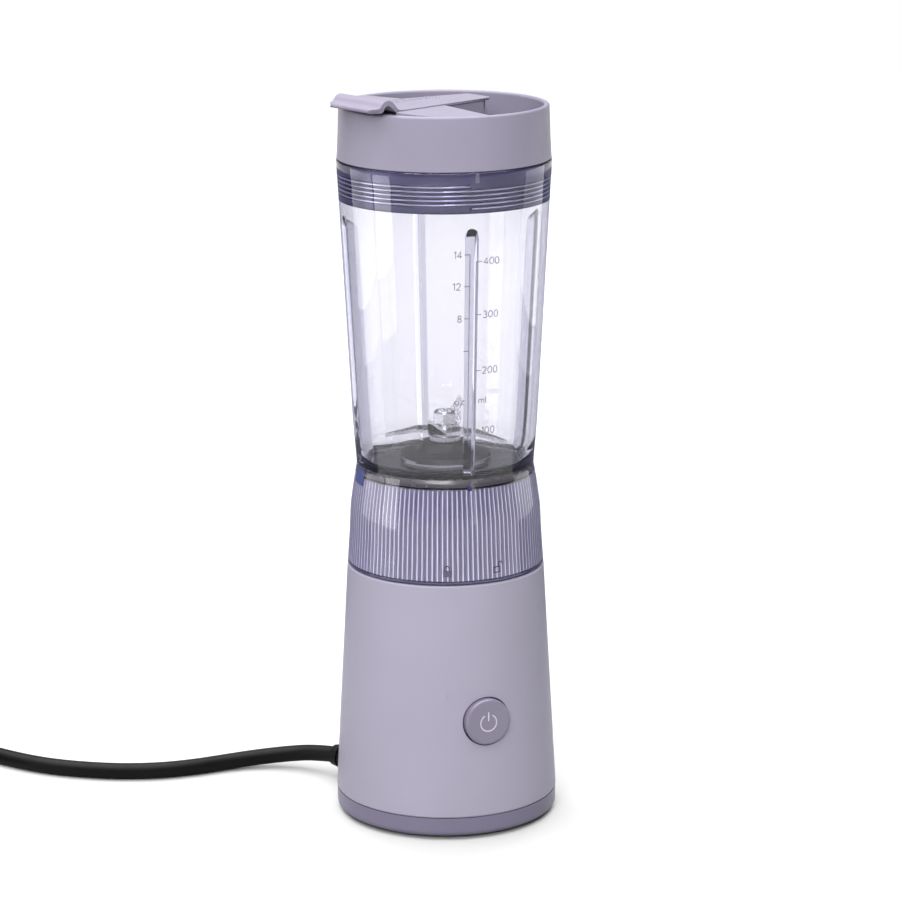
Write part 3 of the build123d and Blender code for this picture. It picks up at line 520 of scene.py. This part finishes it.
def skirt_radius(height):
    """Outer radius of the skirt at a height."""
    for (r0, z0), (r1, z1) in zip(SKIRT_SIDE, SKIRT_SIDE[1:]):
        if height <= z1:
            return r0 + (r1 - r0) * (height - z0) / (z1 - z0)
    return SKIRT_SIDE[-1][0]


def off_crest(azimuth):
    """Distance from the middle of the nearest rib's crest, as a share of the step from rib to rib."""
    phase = azimuth * RIBS / 360 % 1
    return min(phase, 1 - phase)


def skirt_shell():
    """Smooth tinted outside of the skirt with a plain flange below the ribs."""
    side = [(SKIRT_HIGH.x, SKIRT_LOW.z + 0.35)] + SKIRT_SIDE
    inner = [(r - SHELL, z) for r, z in reversed(side[2:])]
    foot = [(SKIRT_HIGH.x - 2.6, SKIRT_LOW.z), (SKIRT_HIGH.x - 0.4, SKIRT_LOW.z)]
    lathe("skirt_shell", side + inner + foot, even_azimuths(180), "jar", "tinted_plastic",
          replaces=["jar_skirt"])


def skirt_ribs():
    """Fine upright prisms round the inner side of the skirt's shell; each flat crest and the ribs' ends
    carry a pale painted highlight.
    """
    low, high = SKIRT_LOW.z + 1.3, BAND_Z - 0.6
    levels = [low + (high - low) * k / 10 for k in range(11)]
    outer = [(skirt_radius(z) - RIB_SET, z) for z in levels]
    inner = [(r - RIB_THICK, z) for r, z in reversed(outer)]

    def radius_at(i, radius, height, azimuth):
        if i >= len(outer):
            return radius
        flank = max(0.0, off_crest(azimuth) - RIB_CREST_HALF) / (0.5 - RIB_CREST_HALF)
        return radius + RIB_RISE * max(0.0, 1 - flank)

    ribs = lathe("skirt_ribs", outer + inner, even_azimuths(RIBS * RIB_POINTS), "jar", "tinted_plastic",
                 radius_at, ["jar_skirt"], 20.0, RIB_VALLEY)
    mesh = ribs.data
    # crest faces and the ribs' top and bottom ends take the pale material, a painted highlight
    mesh.materials.append(RIB_PAINTED_HIGHLIGHT)
    for face in mesh.polygons:
        azimuth = degrees(atan2(face.center.x, -face.center.y)) % 360
        facing = face.normal.x * face.center.x + face.normal.y * face.center.y > 0
        at_end = abs(face.normal.z) > 0.7
        if facing and off_crest(azimuth) < RIB_CREST_HALF or at_end:
            face.material_index = 1


def stop_radius(height):
    """Just inside the outer surface of the skirt, and of the cup above it, which draws in."""
    inset, draws_in = 0.15, 0.13
    if height < BAND_Z:
        return skirt_radius(height) - inset
    return BAND_R - inset - draws_in * (height - BAND_Z)


def skirt_stops():
    """Small moulded blocks where cup and skirt meet: one at the left, one beside the scale."""
    back, bevel = 34.6, 0.3
    for name, azimuth, half, low, high in (("left_stop", -94.0, 8.0, 142.2, 148.8),
                                           ("front_stop", -6.6, 1.3, 145.0, 146.6)):
        heights = (low, low + 0.4, BAND_Z, high - 0.4, high)
        columns = [azimuth + half * k / 3 for k in range(-3, 4)]
        points = []
        for turn in columns:
            points += [polar(stop_radius(z) - (bevel if z in (low, high) else 0), turn, z) for z in heights]
            points += [polar(back, turn, high), polar(back, turn, low)]
        faces = layered(len(columns), len(heights) + 2)
        mesh_object(name, points, faces, "jar", "tinted_plastic", finish=BLUE_SHADE)


def skirt_rings():
    """Solid hem under the ribs, and the clouded joint between cup and skirt."""
    inside, low, high = 38.1, SKIRT_LOW.z + 0.05, SKIRT_LOW.z + 0.8
    outside = SKIRT_HIGH.x - 0.5
    hem = rounded([(inside, low), (outside, low, 0.2), (outside + 0.25, high), (inside, high)], 3)
    lathe("skirt_hem", hem, even_azimuths(120), "jar", "tinted_plastic", finish=HEM)
    inside, low, high = 33.7, BAND_Z + 0.3, 149.5
    joint = [(inside, low), (36.2, low), (35.9, 148.6), (35.6, high), (inside, high)]
    lathe("cup_joint", joint, even_azimuths(120), "jar", "tinted_plastic", finish=CLOUDED)


skirt_shell()
skirt_ribs()
skirt_stops()
skirt_rings()
clear_cup()


# ---- lid ----------------------------------------------------------------------------------------------
LID_AZ = -73.3              # azimuth of the flip cap's tab
COLLAR_LOW, COLLAR_HIGH = span("lid_plug")
COLLAR_R = 41.25            # set into the jar's wall, which magnifies it to its width in the photo
COLLAR_IN, COLLAR_TOP_R = 37.4, 40.9
COLLAR_JOINT = 275.3        # height of the lid's lower edge
THREAD_PITCH = 1.75
THREAD_RISE = 5 * THREAD_PITCH
THREAD_DEPTH = 0.8
THREAD_FROM = 1.2           # how far above the collar's lower edge it starts
THREAD_OFF = -7.7           # azimuth at which the thread starts


def threaded_collar():
    """Screw ring under the lid: ridges of a helical thread with plain lands above and below."""
    low, joint, high = COLLAR_LOW.z, COLLAR_JOINT, COLLAR_HIGH.z
    step = THREAD_PITCH / 10
    heights = [low + 0.6 + step * k for k in range(int((joint - low - 1.2) / step))]
    outer = [(COLLAR_R, z) for z in heights]
    outline = ([(COLLAR_IN, low), (COLLAR_R - 0.4, low)] + outer
               + [(COLLAR_R, joint - 0.1), (COLLAR_TOP_R, joint), (COLLAR_TOP_R, high), (COLLAR_IN, high)])
    first, last = 2, 2 + len(outer) - 1

    def ridge_at(height, azimuth):
        """How much of a ridge stands at a place, from 0 to 1, and whether the thread runs there."""
        turn = (azimuth - THREAD_OFF) % 360 / 360
        above = height - low - THREAD_FROM - THREAD_PITCH * turn
        phase = above / THREAD_PITCH % 1
        ridge = eased(phase, 0.08, 0.34) * (1 - eased(phase, 0.62, 0.9))
        inside = eased(above, 0, 0.2) * (1 - eased(above, THREAD_RISE - 0.1, THREAD_RISE))
        return ridge * inside, 0 < above < THREAD_RISE

    def radius_at(i, radius, height, azimuth):
        if not first <= i <= last:
            return radius
        return radius + THREAD_DEPTH * ridge_at(height, azimuth)[0]

    collar = lathe("threaded_collar", outline, even_azimuths(300), "lid", "lid_plastic", radius_at,
                   ["lid_plug"], 40.0, COLLAR)
    mesh = collar.data
    # the grooves and the plain land below the thread get the painted-shade material
    mesh.materials.append(COLLAR_PAINTED_SHADE)
    # the ridge tops get the painted-highlight material
    mesh.materials.append(COLLAR_PAINTED_HIGHLIGHT)
    for face in mesh.polygons:
        x, y, z = face.center / MM
        if (x * x + y * y) ** 0.5 < COLLAR_R - 0.1:
            continue
        rise, threaded = ridge_at(z, degrees(atan2(x, -y)))
        if threaded and rise < 0.3 or z < low + THREAD_FROM:
            face.material_index = 1
        elif rise > 0.85:
            face.material_index = 2


threaded_collar()


HINGE_Y, HINGE_Z = 15.5, 290.6     # flip cap's pin, in the lid's own direction (its tab towards -Y)
CAP_HALF = 15.35                    # half its width at the arch over the rim
CAP_TOP, CAP_UNDER = 298.5, 297.2
CAP_FRONT, CAP_BACK = -47.6, 19.3
LIP_CORNER, BACK_CORNER = 3.8, 3.0
ARCH_END = -34.4                    # where the arch comes down to the tongue
TAPER_Y = -37.0                     # where the tongue starts to narrow
TAPER, TAPER_LENGTH = 8.05, 56.3    # it loses this much of its half width over this length
KNUCKLE_R, KNUCKLE_HALF, PIN_HOLE = 3.1, 4.35, 1.33
SPOUT_Y = -28.0                     # middle of the drinking opening
BOSS_R, BOSS_HALF = 4.1, 3.2        # the stopper's carrier: its round ends, and their middles from its own


def lid_place(x, y, z):
    """Point of the lid's own direction turned to where the lid sits."""
    return tuple(Matrix.Rotation(radians(LID_AZ), 3, "Z") @ Vector((x, y, z)))


def cap_half_width(y):
    """Half the flip cap's width: straight at the arch, tapered along the tongue, rounded at both ends."""
    if y < CAP_FRONT + LIP_CORNER:
        off = CAP_FRONT + LIP_CORNER - y
        return CAP_HALF - LIP_CORNER + sqrt(max(0.0, LIP_CORNER ** 2 - off ** 2))
    half = CAP_HALF - TAPER * max(0.0, y - TAPER_Y) / TAPER_LENGTH
    if y > CAP_BACK - BACK_CORNER:
        off = y - CAP_BACK + BACK_CORNER
        return half - BACK_CORNER + sqrt(max(0.0, BACK_CORNER ** 2 - off ** 2))
    return half


def resampled(line, step):
    """Points along a line no further apart than a step."""
    points = []
    for a, b in zip(line, line[1:]):
        count = max(1, ceil((Vector(b) - Vector(a)).length / step))
        points += [tuple(Vector(a).lerp(Vector(b), k / count)) for k in range(count)]
    return points + [line[-1]]


def cap_profile():
    """Closed side outline of the flip cap as (y, z): along the top from the hinge end, back underneath."""
    arch_top = through([(ARCH_END, CAP_TOP), (-36.0, 299.7), (-38.0, 301.8), (-40.4, 302.6), (-42.6, 301.9),
                        (-44.4, 300.0), (-47.0, 299.5)], 4)
    arch_under = through([(-47.2, 297.9), (-43.2, 298.2), (-42.0, 299.8), (-40.4, 300.7), (-38.4, 299.7),
                          (-36.6, 298.0), (-34.6, CAP_UNDER)], 4)
    top = [(CAP_BACK - 0.05, CAP_UNDER + 0.4), (CAP_BACK - 0.2, CAP_TOP - 0.7),
           (CAP_BACK - 0.5, CAP_TOP - 0.25), (CAP_BACK - 1.1, CAP_TOP), (CAP_BACK - 2.1, CAP_TOP),
           (CAP_BACK - 3.0, CAP_TOP)]
    lip = [(-47.45, 299.2), (CAP_FRONT, 298.7), (-47.5, 298.2)]
    under = [(CAP_BACK - 3.0, CAP_UNDER), (CAP_BACK - 2.3, CAP_UNDER), (CAP_BACK - 1.5, CAP_UNDER),
             (CAP_BACK - 0.7, CAP_UNDER), (CAP_BACK - 0.2, CAP_UNDER + 0.1)]
    return (top + resampled([top[-1], arch_top[0]], 3.0)[1:-1] + resampled(arch_top, 1.2) + lip
            + resampled(arch_under, 1.2) + resampled([arch_under[-1], under[0]], 3.0)[1:-1] + under)


# where the cap's lengthwise lines of points run, as shares of its half width
CAP_ACROSS = (-1, -0.993, -0.975, -0.94, -0.75, -0.5, -0.25, 0, 0.25, 0.5, 0.75, 0.94, 0.975, 0.993, 1)


def flip_cap_piece():
    """Tongue, arch over the rim and lip in one sheet, with the hinge knuckle underneath."""
    profile = cap_profile()
    points = []
    for share in CAP_ACROSS:
        edge = 1 - max(0.0, (abs(share) - 0.93) / 0.07) ** 2 * 0.35     # thinner towards its long edges
        for y, z in profile:
            if y > ARCH_END:
                middle = (CAP_TOP + CAP_UNDER) / 2
                z = middle + (z - middle) * edge
            points.append(lid_place(share * cap_half_width(y), y, z))
    faces = layered(len(CAP_ACROSS), len(profile))
    mesh_object("flip_cap_sheet", points, faces, "flip_cap", "lid_plastic", 40.0, ["flip_cap"])


def cap_knuckle():
    """Hinge barrel with its pin hole, carried by a web under the tongue."""
    steps, bevel = 32, 0.25
    web = [(HINGE_Y + 2.6, CAP_UNDER + 0.3), (HINGE_Y - 2.6, CAP_UNDER + 0.3)]
    barrel = [(HINGE_Y + KNUCKLE_R * sin(radians(a)), HINGE_Z - KNUCKLE_R * cos(radians(a)))
              for a in [-123 + 246 * k / steps for k in range(steps + 1)]]
    outline = web + barrel
    hole = [(HINGE_Y + PIN_HOLE * sin(radians(a)), HINGE_Z - PIN_HOLE * cos(radians(a)))
            for a in [-180 + 360 * k / steps for k in range(steps)]]
    points, faces = [], []
    for x, taken in ((-KNUCKLE_HALF, bevel), (-KNUCKLE_HALF + bevel, 0), (KNUCKLE_HALF - bevel, 0),
                     (KNUCKLE_HALF, bevel)):
        for y, z in outline:
            off = Vector((y - HINGE_Y, z - HINGE_Z))
            off = off * (1 - taken / off.length)
            points.append(lid_place(x, HINGE_Y + off.x, HINGE_Z + off.y))
        points += [lid_place(x, y, z) for y, z in hole]
    rim, bore = len(outline), len(hole)
    level = rim + bore
    for j in range(3):
        a, b = j * level, (j + 1) * level
        faces += band(a, b, rim) + band(a + rim, b + rim, bore)
    for a in (0, 3 * level):
        for i in range(rim):
            k = (i + 1) % rim
            near, far = round(i * bore / rim), round((i + 1) * bore / rim)
            corners = [a + i, a + k, a + rim + far % bore]
            faces.append(tuple(corners + ([a + rim + near % bore] if near != far else [])))
    mesh_object("cap_knuckle", points, faces, "flip_cap", "lid_plastic", 40.0, ["flip_cap"])


def cap_stipple():
    """Rows of low domes embossed on the tongue."""
    points, faces = [], []
    steps, rows, columns = 8, 3, 22
    angles = [2 * pi * i / steps for i in range(steps)]
    for row in range(rows):
        for k in range(columns):
            x, y = -9.6 + row * 2.6, -31.0 + k * 1.5
            if abs(x) > cap_half_width(y) - 2.5:
                continue
            first = len(points)
            for radius, rise in ((0.55, -0.05), (0.48, 0.2), (0.25, 0.32)):
                points += [lid_place(x + radius * cos(a), y + radius * sin(a), CAP_TOP + rise)
                           for a in angles]
            faces += layered(3, steps, first)
    mesh_object("cap_stipple", points, faces, "flip_cap", "lid_plastic", 50.0)


def seal_boss():
    """Raised slot under the flip cap that carries the silicone stopper."""
    steps = 14
    plan, points = [], []
    for side, start in ((1, 0), (-1, 180)):
        angles = [radians(start + 180 * k / steps) for k in range(steps + 1)]
        plan += [(side * BOSS_HALF + BOSS_R * sin(a), SPOUT_Y - BOSS_R * cos(a)) for a in angles]
    for z in (295.55, 296.5, CAP_UNDER + 0.2):
        points += [lid_place(x, y, z) for x, y in plan]
    mesh_object("seal_boss", points, layered(3, len(plan)), "flip_cap", "lid_plastic", 40.0, ["flip_cap"])


CHORD_Y = -9.0              # edge between the deck and the deep recess
DECK_END = -36.6
DECK_LOW, DECK_HIGH = 296.85, 297.95    # the deck at the rim and beside the tongue
DECK_UNDER = 295.2
DECK_R = 40.7
DECK_EDGE = 0.35            # bevel along its edges
RECESS_Z = 282.5


def lid_decks():
    """Deck each side of the flip cap's tongue, rising gently from the rim to the tongue."""
    for name, side in (("deck_right", 1), ("deck_left", -1)):
        points = []
        rows = 28
        for k in range(rows + 1):
            y = CHORD_Y - 0.05 + (DECK_END - CHORD_Y) * k / rows
            inner = cap_half_width(y) + 0.3
            outer = sqrt(DECK_R ** 2 - y ** 2)
            fall = (DECK_LOW - DECK_HIGH) * min(1.0, (outer - inner) / 14.0)
            section = [(inner, DECK_UNDER), (inner, DECK_HIGH - DECK_EDGE), (inner + DECK_EDGE, DECK_HIGH),
                       (inner + 0.4 * (outer - inner), DECK_HIGH + 0.4 * fall),
                       (outer, DECK_HIGH + fall), (outer, DECK_UNDER)]
            lowered = DECK_EDGE if k == 0 else 0.0
            points += [lid_place(side * x, y, z - (lowered if z > DECK_UNDER else 0)) for x, z in section]
            if k == 0:
                points += [lid_place(side * x, y - DECK_EDGE, z) for x, z in section]
        mesh_object(name, points, layered(rows + 2, len(section)), "lid", "lid_plastic", 25.0)


def tongue_bed():
    """Straight-sided block under the tongue, standing in the deep recess, open at the hinge."""
    top, bevel = CAP_UNDER - 0.08, 0.25
    front, open_from, back = CHORD_Y - 0.3, 11.0, 14.3
    open_half = 6.75
    wide = [cap_half_width(y) - 0.2 for y in (front, open_from, back)]
    plan = [(-wide[0], front), (wide[0], front), (wide[1], open_from), (wide[2], back),
            (open_half, back), (open_half, open_from), (-open_half, open_from), (-open_half, back),
            (-wide[2], back), (-wide[1], open_from)]
    points = []
    for z, shrink in ((RECESS_Z - 0.3, 0.0), (top - bevel, 0.0), (top, bevel)):
        for x, y in plan:
            inward = shrink if abs(x) > open_half else 0.0
            points.append(lid_place(x - inward * (1 if x > 0 else -1), y, z))
    mesh_object("tongue_bed", points, layered(3, len(plan)), "lid", "lid_plastic", 25.0)


flip_cap_piece()
cap_knuckle()
cap_stipple()
seal_boss()
lid_decks()
tongue_bed()


# ---- printed marks ------------------------------------------------------------------------------------
FIGURE_HALF = 1.35          # half the height of a figure
SIGN_GAP = 0.75
LIFT = 0.03                 # ink above the surface, so that the two don't meet
INK_THICK = 0.06


def arc(x, z, across, up, start, end, steps=14):
    """Points of part of an ellipse."""
    angles = [radians(start + (end - start) * k / steps) for k in range(steps + 1)]
    return [(x + across * cos(a), z + up * sin(a)) for a in angles]


DIGITS = {      # strokes of each figure, 2.7 mm tall
    "0": [arc(0.85, 1.35, 0.85, 1.35, 90, 450, 22)],
    "1": [[(0.3, 2.15), (0.85, 2.7), (0.85, 0)]],
    "2": [arc(0.8, 1.95, 0.75, 0.75, 165, -35) + [(0.05, 0.0), (1.6, 0.0)]],
    "3": [arc(0.75, 2.05, 0.65, 0.65, 150, -90), arc(0.75, 0.7, 0.75, 0.7, 90, -150)],
    "4": [[(1.25, 0), (1.25, 2.7), (0.0, 0.75), (1.7, 0.75)]],
    "8": [arc(0.8, 2.03, 0.6, 0.65, -90, 270, 18), arc(0.8, 0.69, 0.76, 0.69, 90, 450, 18)],
}
LETTERS = {     # lower-case letters of the two units, 2 mm tall
    "o": [arc(0.8, 0.8, 0.8, 0.8, 0, 360, 18)],
    "z": [[(0.1, 1.6), (1.4, 1.6), (0.1, 0.0), (1.45, 0.0)]],
    "m": [[(0, 1.6), (0, 0)], arc(0.55, 1.05, 0.55, 0.55, 180, 0, 8) + [(1.1, 0)],
          arc(1.65, 1.05, 0.55, 0.55, 180, 0, 8) + [(2.2, 0)]],
    "l": [[(0, 2.5), (0, 0)]],
}


def written(text, x, z):
    """Strokes of a short text that starts at a place."""
    strokes = []
    for sign in text:
        shapes = DIGITS.get(sign) or LETTERS[sign]
        strokes += [[(x + a, z + b) for a, b in stroke] for stroke in shapes]
        x += max(a for stroke in shapes for a, b in stroke) + SIGN_GAP
    return strokes


def ink(name, strokes, width, place, body, slot, finish):
    """Strokes of a width laid as a thin film; place(across, up, lift) gives points on the surface."""
    points, faces = [], []
    for stroke in strokes:
        first = len(points)
        for i, here in enumerate(stroke):
            before, after = stroke[max(0, i - 1)], stroke[min(len(stroke) - 1, i + 1)]
            into = (Vector(here) - Vector(before)).normalized() if i else Vector((0, 0))
            out = (Vector(after) - Vector(here)).normalized() if i < len(stroke) - 1 else Vector((0, 0))
            ahead = (into + out).normalized()
            lean = max(0.5, ahead.dot(out if i < len(stroke) - 1 else into))
            off = Vector((-ahead.y, ahead.x)) * width / 2 / lean
            for side in (off, -off):
                for lift in (0.0, INK_THICK):
                    points.append(place(here[0] + side.x, here[1] + side.y, lift))
        for i in range(len(stroke) - 1):
            a, b = first + 4 * i, first + 4 * i + 4
            faces += [(a, a + 1, b + 1, b), (a + 3, a + 2, b + 2, b + 3), (a + 1, a + 3, b + 3, b + 1),
                      (a + 2, a, b, b + 2)]
        end = first + 4 * (len(stroke) - 1)
        faces += [(first, first + 2, first + 3, first + 1), (end, end + 1, end + 3, end + 2)]
    mesh_object(name, points, faces, body, slot, finish=finish)


def on_jar(across, up, lift):
    """Point of the cup's side, measured across from the middle of the front fin."""
    radius = side_radius(up) + LIFT + lift
    return polar(radius, JAR_AZ + degrees(across / radius), up)


def scale():
    """Volume scale each side of the front fin: ounces at the left, millilitres at the right."""
    left, right = -1.3, 1.3
    ounces, millilitres = (242.3, 229.5, 216.4, 203.1), (239.4, 217.8, 194.9, 170.0)
    strokes = [[(left, ounces[0]), (left, 204), (left, 166.5), (left - 2.0, 166.5)],
               [(right + 2.5, millilitres[0]), (right, millilitres[0]), (right, 205),
                (right, millilitres[-1]), (right + 2.5, millilitres[-1])]]
    strokes += [[(left, z), (left - 2.2, z)] for z in ounces]
    strokes += [[(right, z), (right + 2.5, z)] for z in millilitres[1:-1]]
    for text, x, z in zip(("14", "12", "8"), (left - 6.6, left - 6.9, left - 4.7), ounces):
        strokes += written(text, x, z - FIGURE_HALF)
    for text, x, z in zip(("400", "300", "200", "100"), (right + 3.3,) * 3 + (right + 3.1,), millilitres):
        strokes += written(text, x, z - FIGURE_HALF)
    strokes += written("oz", left - 5.4, 181.2) + written("ml", right + 1.9, 181.4)
    ink("scale", strokes, 0.36, on_jar, "jar", "trim_plastic", GREY_INK)


BUTTON_FACE = span("power_button")[0].y
BUTTON_Z = 49.5             # height of its middle


def on_button(across, up, lift):
    return (across, BUTTON_FACE - 0.02 - lift, BUTTON_Z + up)


def power_mark():
    """Open ring with an upright bar."""
    strokes = [arc(0, -0.2, 3.5, 3.5, 62, -242, 30), [(0, 0.6), (0, 2.4), (0, 4.3)]]
    ink("power_mark", strokes, 0.5, on_button, "power_button", "trim_plastic", PALE_INK)


def lock_marks():
    """Closed and open padlock on the skirt, for the two ends of its turn."""
    closed_place, open_place = (-21.3, 111.8), (8.7, 112.0)     # azimuth and height

    def place_at(azimuth, height):
        def place(across, up, lift):
            radius = skirt_radius(height + up) + LIFT + lift
            return polar(radius, azimuth + degrees(across / radius), height + up)
        return place

    solid = [[(-1.5, 0.0), (0.0, 0.0), (1.5, 0.0)]]
    ink("closed_lock_body", solid, 2.5, place_at(*closed_place), "jar", "trim_plastic", DARK_INK)
    ink("closed_lock_bow", [[(-0.95, 1.2)] + arc(0, 2.1, 0.95, 1.0, 180, 0, 10) + [(0.95, 1.2)]], 0.42,
        place_at(*closed_place), "jar", "trim_plastic", DARK_INK)
    box = [(-1.4, -1.1), (1.4, -1.1), (1.4, 1.1), (-1.4, 1.1), (-1.4, -1.1)]
    bow = [(0.9, 1.2)] + arc(1.75, 2.2, 0.9, 0.95, 180, -20, 10)
    ink("open_lock", [box, bow], 0.4, place_at(*open_place), "jar", "trim_plastic", DARK_INK)


scale()
power_mark()
lock_marks()


# ---- room ---------------------------------------------------------------------------------------------
FLOOR_HALF = 9.0
FLOOR_GREY = 0.30
AIM = Vector((0, 0, 0.17))      # what every light points at
CLOTH_NEAR, CLOTH_FAR, CLOTH_LIFT = 0.3, 1.9, 0.0015
ROUND = [(-180, 0.50), (-150, 0.22), (-120, 0.12), (-60, 0.14), (0, 0.30),
         (60, 0.08), (110, 0.04), (150, 0.22), (180, 0.50)]     # azimuths, and the sky's strength there
ZENITH = 7.9                    # strength overhead
OVERHEAD = (0.62, 0.92)         # cosines from its middle: nothing at the first, full strength at the second
OVERHEAD_LEAN = 0.10            # how far it leans to the camera's left


def make_floor():
    mesh = bpy.data.meshes.new("floor")
    corners = [(x * FLOOR_HALF, y * FLOOR_HALF, 0) for x, y in ((-1, -1), (1, -1), (1, 1), (-1, 1))]
    mesh.from_pydata(corners, [], [(0, 1, 2, 3)])
    ground = bpy.data.objects.new("floor", mesh)
    bpy.context.scene.collection.objects.link(ground)
    paint = Paint("pale_floor", (FLOOR_GREY, FLOOR_GREY, FLOOR_GREY, 1), 0.7, Specular_IOR_Level=0.1)
    paint.varied(paint.noise(6.0), 0.65, 0.75)
    mesh.materials.append(paint.material)


def from_camera(azimuth, distance, height):
    """Place round the object; azimuth 0 is towards the camera and grows to the camera's right."""
    a = radians(azimuth)
    return (-AWAY * cos(a) + RIGHT * sin(a)) * distance + UP * height


def softbox(name, azimuth, distance, height, width, tall, power, glossy=True, diffuse=True,
            transmission=True):
    """Area light aimed at the object; each kind of ray may be kept from seeing it."""
    data = bpy.data.lights.new(name, "AREA")
    data.shape = "RECTANGLE"
    data.size, data.size_y = width, tall
    data.energy = power
    light = bpy.data.objects.new(name, data)
    bpy.context.scene.collection.objects.link(light)
    place = from_camera(azimuth, distance, height)
    light.location = place
    light.rotation_euler = (AIM - place).to_track_quat("-Z", "Y").to_euler()
    light.visible_glossy = glossy
    light.visible_diffuse = diffuse
    light.visible_transmission = transmission


def dark_cloth(name, start, end):
    """Dark cloth on the floor beside the object, seen only in reflections: it keeps glossy edges dark."""
    points = []
    steps = 8
    for k in range(steps + 1):
        azimuth = start + (end - start) * k / steps
        points += [from_camera(azimuth, reach, CLOTH_LIFT) for reach in (CLOTH_NEAR, CLOTH_FAR)]
    mesh = bpy.data.meshes.new(name)
    mesh.from_pydata(points, [], [(2 * k, 2 * k + 1, 2 * k + 3, 2 * k + 2) for k in range(steps)])
    cloth = bpy.data.objects.new(name, mesh)
    bpy.context.scene.collection.objects.link(cloth)
    paint = Paint(name, (0.03, 0.03, 0.05, 1), 0.9)
    paint.varied(paint.noise(40.0), 0.85, 0.95)
    mesh.materials.append(paint.material)
    cloth.visible_camera = cloth.visible_diffuse = cloth.visible_transmission = cloth.visible_shadow = False


def make_sky():
    """Dim studio walls all round, uneven in strength, under a bright ceiling."""
    world = bpy.data.worlds.new("sky")
    bpy.context.scene.world = world
    world.use_nodes = True
    tree = world.node_tree
    background = tree.nodes["Background"]
    background.inputs["Color"].default_value = (1.0, 1.0, 1.0, 1.0)
    place = tree.nodes.new("ShaderNodeTexCoord")
    turn = tree.nodes.new("ShaderNodeMapping")
    turn.inputs["Rotation"].default_value = (0, 0, radians(90 - VIEW_AZ))
    radial = tree.nodes.new("ShaderNodeTexGradient")
    radial.gradient_type = "RADIAL"
    ramp = tree.nodes.new("ShaderNodeValToRGB")
    while len(ramp.color_ramp.elements) < len(ROUND):
        ramp.color_ramp.elements.new(0.5)
    for element, (azimuth, strength) in zip(ramp.color_ramp.elements, ROUND):
        element.position = (azimuth + 180) / 360
        element.color = (strength, strength, strength, 1)
    apart = tree.nodes.new("ShaderNodeVectorMath")
    apart.operation = "DOT_PRODUCT"
    apart.inputs[1].default_value = (UP - RIGHT * OVERHEAD_LEAN).normalized()
    overhead = tree.nodes.new("ShaderNodeMapRange")
    overhead.interpolation_type = "SMOOTHSTEP"
    overhead.inputs["From Min"].default_value, overhead.inputs["From Max"].default_value = OVERHEAD
    overhead.inputs["To Min"].default_value = 0.0
    overhead.inputs["To Max"].default_value = ZENITH
    total = tree.nodes.new("ShaderNodeMath")
    total.operation = "ADD"
    tree.links.new(place.outputs["Generated"], turn.inputs["Vector"])
    tree.links.new(turn.outputs["Vector"], radial.inputs["Vector"])
    tree.links.new(radial.outputs["Fac"], ramp.inputs["Fac"])
    tree.links.new(place.outputs["Generated"], apart.inputs["Vector"])
    tree.links.new(apart.outputs["Value"], overhead.inputs["Value"])
    tree.links.new(ramp.outputs["Color"], total.inputs[0])
    tree.links.new(overhead.outputs["Result"], total.inputs[1])
    tree.links.new(total.outputs["Value"], background.inputs["Strength"])


make_floor()
make_sky()
softbox("front_box", -7, 1.75, 1.05, 1.0, 0.7, 52, glossy=False)
softbox("left_box", -78, 1.1, 0.30, 0.42, 0.75, 0.5)
softbox("left_card", -69, 0.75, 0.12, 0.28, 0.22, 0.66, diffuse=False)
softbox("left_far_card", -99, 0.75, 0.12, 0.46, 0.22, 0.50, diffuse=False)
softbox("right_card", 113, 0.75, 0.12, 0.5, 0.22, 0.5, diffuse=False)
dark_cloth("left_cloth", -165, -95)
dark_cloth("right_cloth", 95, 165)
softbox("right_box", 145, 1.3, 0.40, 0.5, 0.8, 0.2)
softbox("back_right_box", 158, 1.75, 0.9, 1.0, 0.7, 24, glossy=False, transmission=False)
softbox("back_left_box", -155, 1.75, 0.9, 1.0, 0.7, 20, glossy=False, transmission=False)
softbox("front_strip", 35, 1.5, 0.35, 0.12, 0.7, 0.45)
bpy.context.scene.view_settings.view_transform = "Standard"
